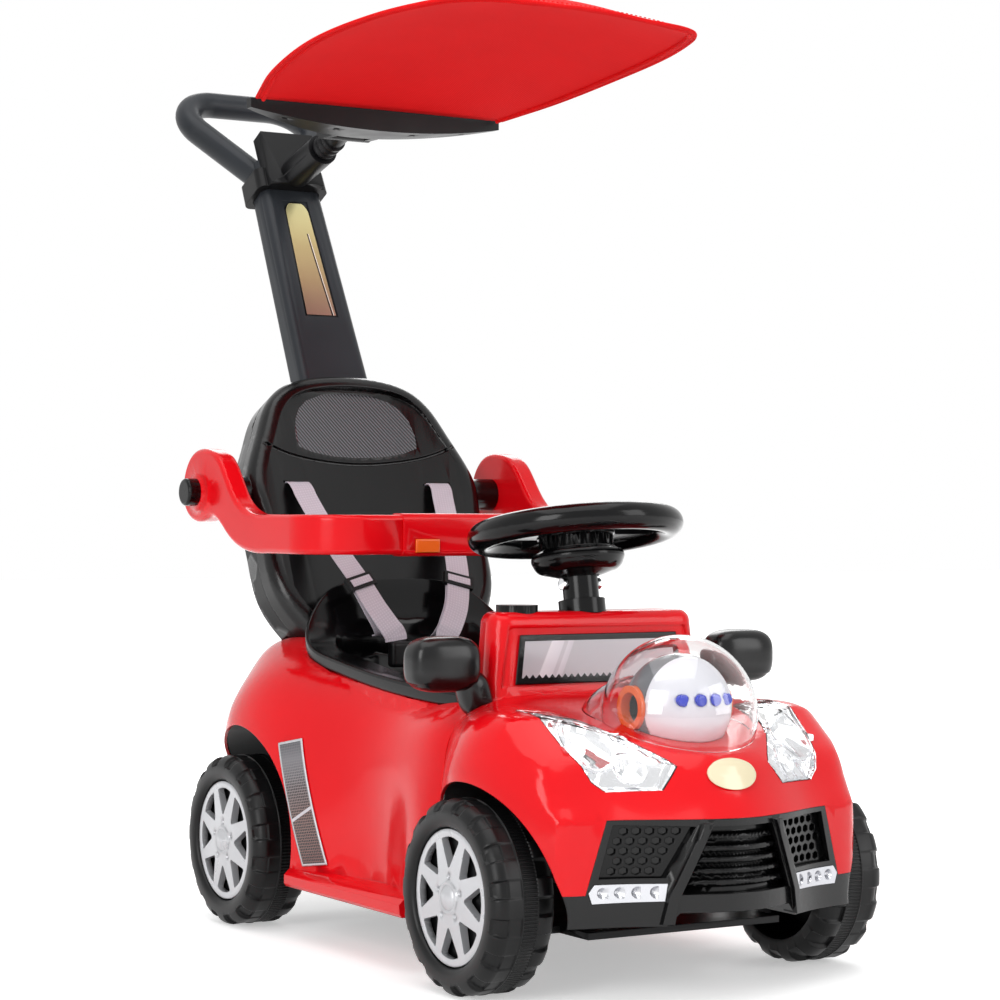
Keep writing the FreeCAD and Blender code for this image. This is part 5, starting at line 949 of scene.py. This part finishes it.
laid(
    "handle_label_print", "handle_label", label_place, (0, math.cos(POLE_LEAN), -math.sin(POLE_LEAN)),
    lift=0.1, rows=120, columns=36, border=LABEL_BORDER, finishes=[black_abs, gold_foil],
)

# Headlamps: fluted bright bowls behind the clear lens, each with its lit bulb.
# Upper and lower edge: share of the lamp's length, then place across and height.
LAMP_TOP = [(0, 47, 196), (0.08, 53, 202), (0.42, 81, 222), (0.8, 106, 236), (1, 132, 236)]
LAMP_LOW = [(0, 62, 177), (0.5, 107, 176), (0.62, 117, 184), (0.85, 129, 213), (1, 132, 236)]
# Across, height, radius and depth of each bowl, and its bulb's radius.
LAMP_BOWLS = [(106, 212, 19, 17, 5.0), (80, 193, 11, 9, 2.6)]
# Gap behind the lens's outside, then depth of the fluted ground, of its flutes and of the bowls' rims.
LENS_GAP, GROUND_DEPTH, FLUTE_DEPTH, RIM_DEPTH = 2.5, 5.0, 1.6, 3.2
FLUTE_STEP, FLUTE_SLANT, BOWL_THICK = 7.0, 0.8, 1.2
# Rim's radius to the bowl's, edge to the lamp's length, bulb's place to the bowl's depth
# and bulb's length to its width.
RIM_WIDE, EDGE_SHARE, BULB_PLACE, BULB_LONG = 1.12, 0.05, 0.75, 1.3
# Place along the car from which the lens is looked for, and near which it lies.
LAMP_LOOK_Y, LAMP_Y = -600, -430


def straight(line, t):
    """Place at a share along a line of straight runs."""
    for a, b in zip(line, line[1:]):
        if t <= b[0]:
            s = (t - a[0]) / (b[0] - a[0])
            return a[1] + (b[1] - a[1]) * s, a[2] + (b[2] - a[2]) * s
    return line[-1][1:]


def bowl_depth(x, z, edge):
    """How far the bright inside lies behind the lens; its rim, at edge 0, comes forward to the lens."""
    depth = GROUND_DEPTH + FLUTE_DEPTH * abs(((x + FLUTE_SLANT * z) / FLUTE_STEP) % 2 - 1)
    for cx, cz, radius, deep, _ in LAMP_BOWLS:
        away = math.hypot(x - cx, z - cz) / radius
        if away < 1:
            depth = RIM_DEPTH + deep * (1 - away * away)
        elif away < RIM_WIDE:
            depth = RIM_DEPTH
    return depth * eased(edge, 0.0, EDGE_SHARE)


lens_tree = surface_of("headlamp_lenses")


def lens_front(x, z):
    """Place along the car of the lens's outside, or of its nearest point past its edge."""
    hit = lens_tree.ray_cast(Vector((x, LAMP_LOOK_Y, z)) * MM, Vector((0, 1, 0)))[0]
    return (hit or lens_tree.find_nearest(Vector((x, LAMP_Y, z)) * MM)[0]).y / MM


def lamp_inside(name, side):
    """Bright inside of one lamp, worked out behind its lens."""
    rows, columns, end_share = 70, 130, 0.99
    points = []
    for r in range(rows):
        v = r / (rows - 1)
        for c in range(columns):
            u = end_share * c / (columns - 1)
            (tx, tz), (lx, lz) = straight(LAMP_TOP, u), straight(LAMP_LOW, u)
            x, z = lx + (tx - lx) * v, lz + (tz - lz) * v
            depth = bowl_depth(x, z, min(u, 1 - u, v, 1 - v))
            points.append((side * x, lens_front(side * x, z) + LENS_GAP + depth, z))
    mesh = mesh_of(name, points, grid_faces(rows, columns), tidy=False)
    for face in mesh.polygons:
        if face.normal.y > 0:
            face.flip()
    smooth_by_angle(mesh, 14)
    return mesh


def lamp_bulbs(name, side):
    """The lit bulbs of one lamp, each set deep in its bowl."""
    bulbs = []
    for x, z, _, deep, ball in LAMP_BOWLS:
        y = lens_front(side * x, z) + LENS_GAP + deep * BULB_PLACE
        half = (ball, ball * BULB_LONG, ball)
        form, faces = rounded_form((side * x, y, z), half, (1, 1), rows=14, columns=24)
        bulbs.append(mesh_of("bulb", form, faces))
    mesh = one_mesh(name, bulbs)
    smooth_by_angle(mesh, 60)
    return mesh


for word, side in (("right", -1), ("left", 1)):
    inside = lamp_inside(f"lamp_bowls_{word}", side)
    backed(settle(f"lamp_bowls_{word}", inside, chrome, "chassis", "headlamp_reflectors"), BOWL_THICK)
    bulbs = lamp_bulbs(f"lamp_bulbs_{word}", side)
    settle(f"lamp_bulbs_{word}", bulbs, lit_bulb, "chassis", slot="white_plastic")


# Floor, light and camera

# Metres from the middle of the floor to its edge, and where its own light starts and ends its rise.
FLOOR_REACH, GLOW_START, GLOW_END = 12.0, 0.5, 1.5
# Light of the surroundings on the object, and of what is looked at directly, where 1 is white.
FILL_LIGHT, WHITE = 0.42, 1.0
floor_mesh = bpy.data.meshes.new("floor")
floor_corners = [(x * FLOOR_REACH, y * FLOOR_REACH, 0) for x, y in ((-1, -1), (1, -1), (1, 1), (-1, 1))]
floor_mesh.from_pydata(floor_corners, [], [(0, 1, 2, 3)])
floor = bpy.data.objects.new("floor", floor_mesh)
scene.collection.objects.link(floor)


def looked_at(tree):
    """1 for a ray from the camera, or one that a mirror or glass sends on, otherwise 0."""
    ways = add(tree, "ShaderNodeLightPath").outputs
    sent_on = sums(tree, "MAXIMUM", ways["Is Glossy Ray"], ways["Is Transmission Ray"])
    return sums(tree, "MAXIMUM", ways["Is Camera Ray"], sent_on)


# White studio floor: lit from below where it is looked at, so that only the car's shadow darkens it.
pale, pale_tree, pale_shader = material("white_studio_floor", "#F2F2F2", 0.7)
spot = add(pale_tree, "ShaderNodeTexCoord").outputs["Object"]
far = add(pale_tree, "ShaderNodeVectorMath", {0: spot}, operation="LENGTH").outputs["Value"]
glow = add(
    pale_tree, "ShaderNodeMapRange", {"Value": far},
    From_Min=GLOW_START, From_Max=GLOW_END, To_Min=FILL_LIGHT, To_Max=WHITE,
)
strength = sums(pale_tree, "MULTIPLY", looked_at(pale_tree), glow.outputs["Result"])
white = add(pale_tree, "ShaderNodeEmission", {"Strength": strength})
mix = add(pale_tree, "ShaderNodeAddShader", {0: pale_shader.outputs[0], 1: white.outputs[0]})
pale_tree.links.new(mix.outputs[0], pale_tree.nodes["Material Output"].inputs["Surface"])
floor_mesh.materials.append(pale)

world = bpy.data.worlds.new("studio")
scene.world = world
world.use_nodes = True
sky = world.node_tree
back = sky.nodes["Background"]
back.inputs["Color"].default_value = (1, 1, 1, 1)
level = add(sky, "ShaderNodeMapRange", {"Value": looked_at(sky)}, To_Min=FILL_LIGHT, To_Max=WHITE)
sky.links.new(level.outputs["Result"], back.inputs["Strength"])


def soft_lamp(name, place, aim, size, power):
    """A wide studio lamp, in metres and watts."""
    lamp = bpy.data.lights.new(name, "AREA")
    lamp.shape = "RECTANGLE"
    lamp.size, lamp.size_y = size
    lamp.energy = power
    thing = bpy.data.objects.new(name, lamp)
    thing.location = place
    thing.rotation_euler = (Vector(aim) - Vector(place)).to_track_quat("-Z", "Y").to_euler()
    scene.collection.objects.link(thing)


soft_lamp("overhead", (-0.3, -0.5, 2.6), (0, 0, 0.3), (2.4, 2.4), 34)
soft_lamp("front_right", (-2.6, -1.6, 1.3), (0, -0.1, 0.35), (1.2, 1.8), 42)
soft_lamp("front_left", (1.6, -2.6, 1.2), (0, -0.2, 0.35), (1.2, 1.8), 24)
soft_lamp("rear_edge", (1.4, 2.2, 1.8), (0, 0.1, 0.5), (1.6, 1.2), 20)

CAMERA_PLACE = Vector((-1.2979, -2.2390, 0.4065))
CAMERA_TURN, CAMERA_PITCH, CAMERA_ROLL = (math.radians(v) for v in (-31.25, -0.28, 0.26))
# Focal length and width of the picture in pixels, and the camera's sensor in millimetres.
FOCAL_PIXELS, PICTURE_PIXELS, SENSOR_WIDE = 2602, 1000, 36
lens = bpy.data.cameras.new("camera")
lens.lens = SENSOR_WIDE * FOCAL_PIXELS / PICTURE_PIXELS
lens.sensor_width = SENSOR_WIDE
lens.clip_start, lens.clip_end = 0.05, 60
camera = bpy.data.objects.new("camera", lens)
scene.collection.objects.link(camera)
scene.camera = camera
level_reach = math.cos(CAMERA_PITCH)
away = Vector((
    math.sin(CAMERA_TURN) * level_reach, -math.cos(CAMERA_TURN) * level_reach, math.sin(CAMERA_PITCH),
))
across = Vector((math.cos(CAMERA_TURN), math.sin(CAMERA_TURN), 0))
upward = away.cross(across)
level_across = across * math.cos(CAMERA_ROLL) + upward * math.sin(CAMERA_ROLL)
level_up = upward * math.cos(CAMERA_ROLL) - across * math.sin(CAMERA_ROLL)
turn = Matrix((level_across, level_up, away)).transposed().to_4x4()
camera.matrix_world = Matrix.Translation(CAMERA_PLACE) @ turn

scene.view_settings.view_transform = "Standard"
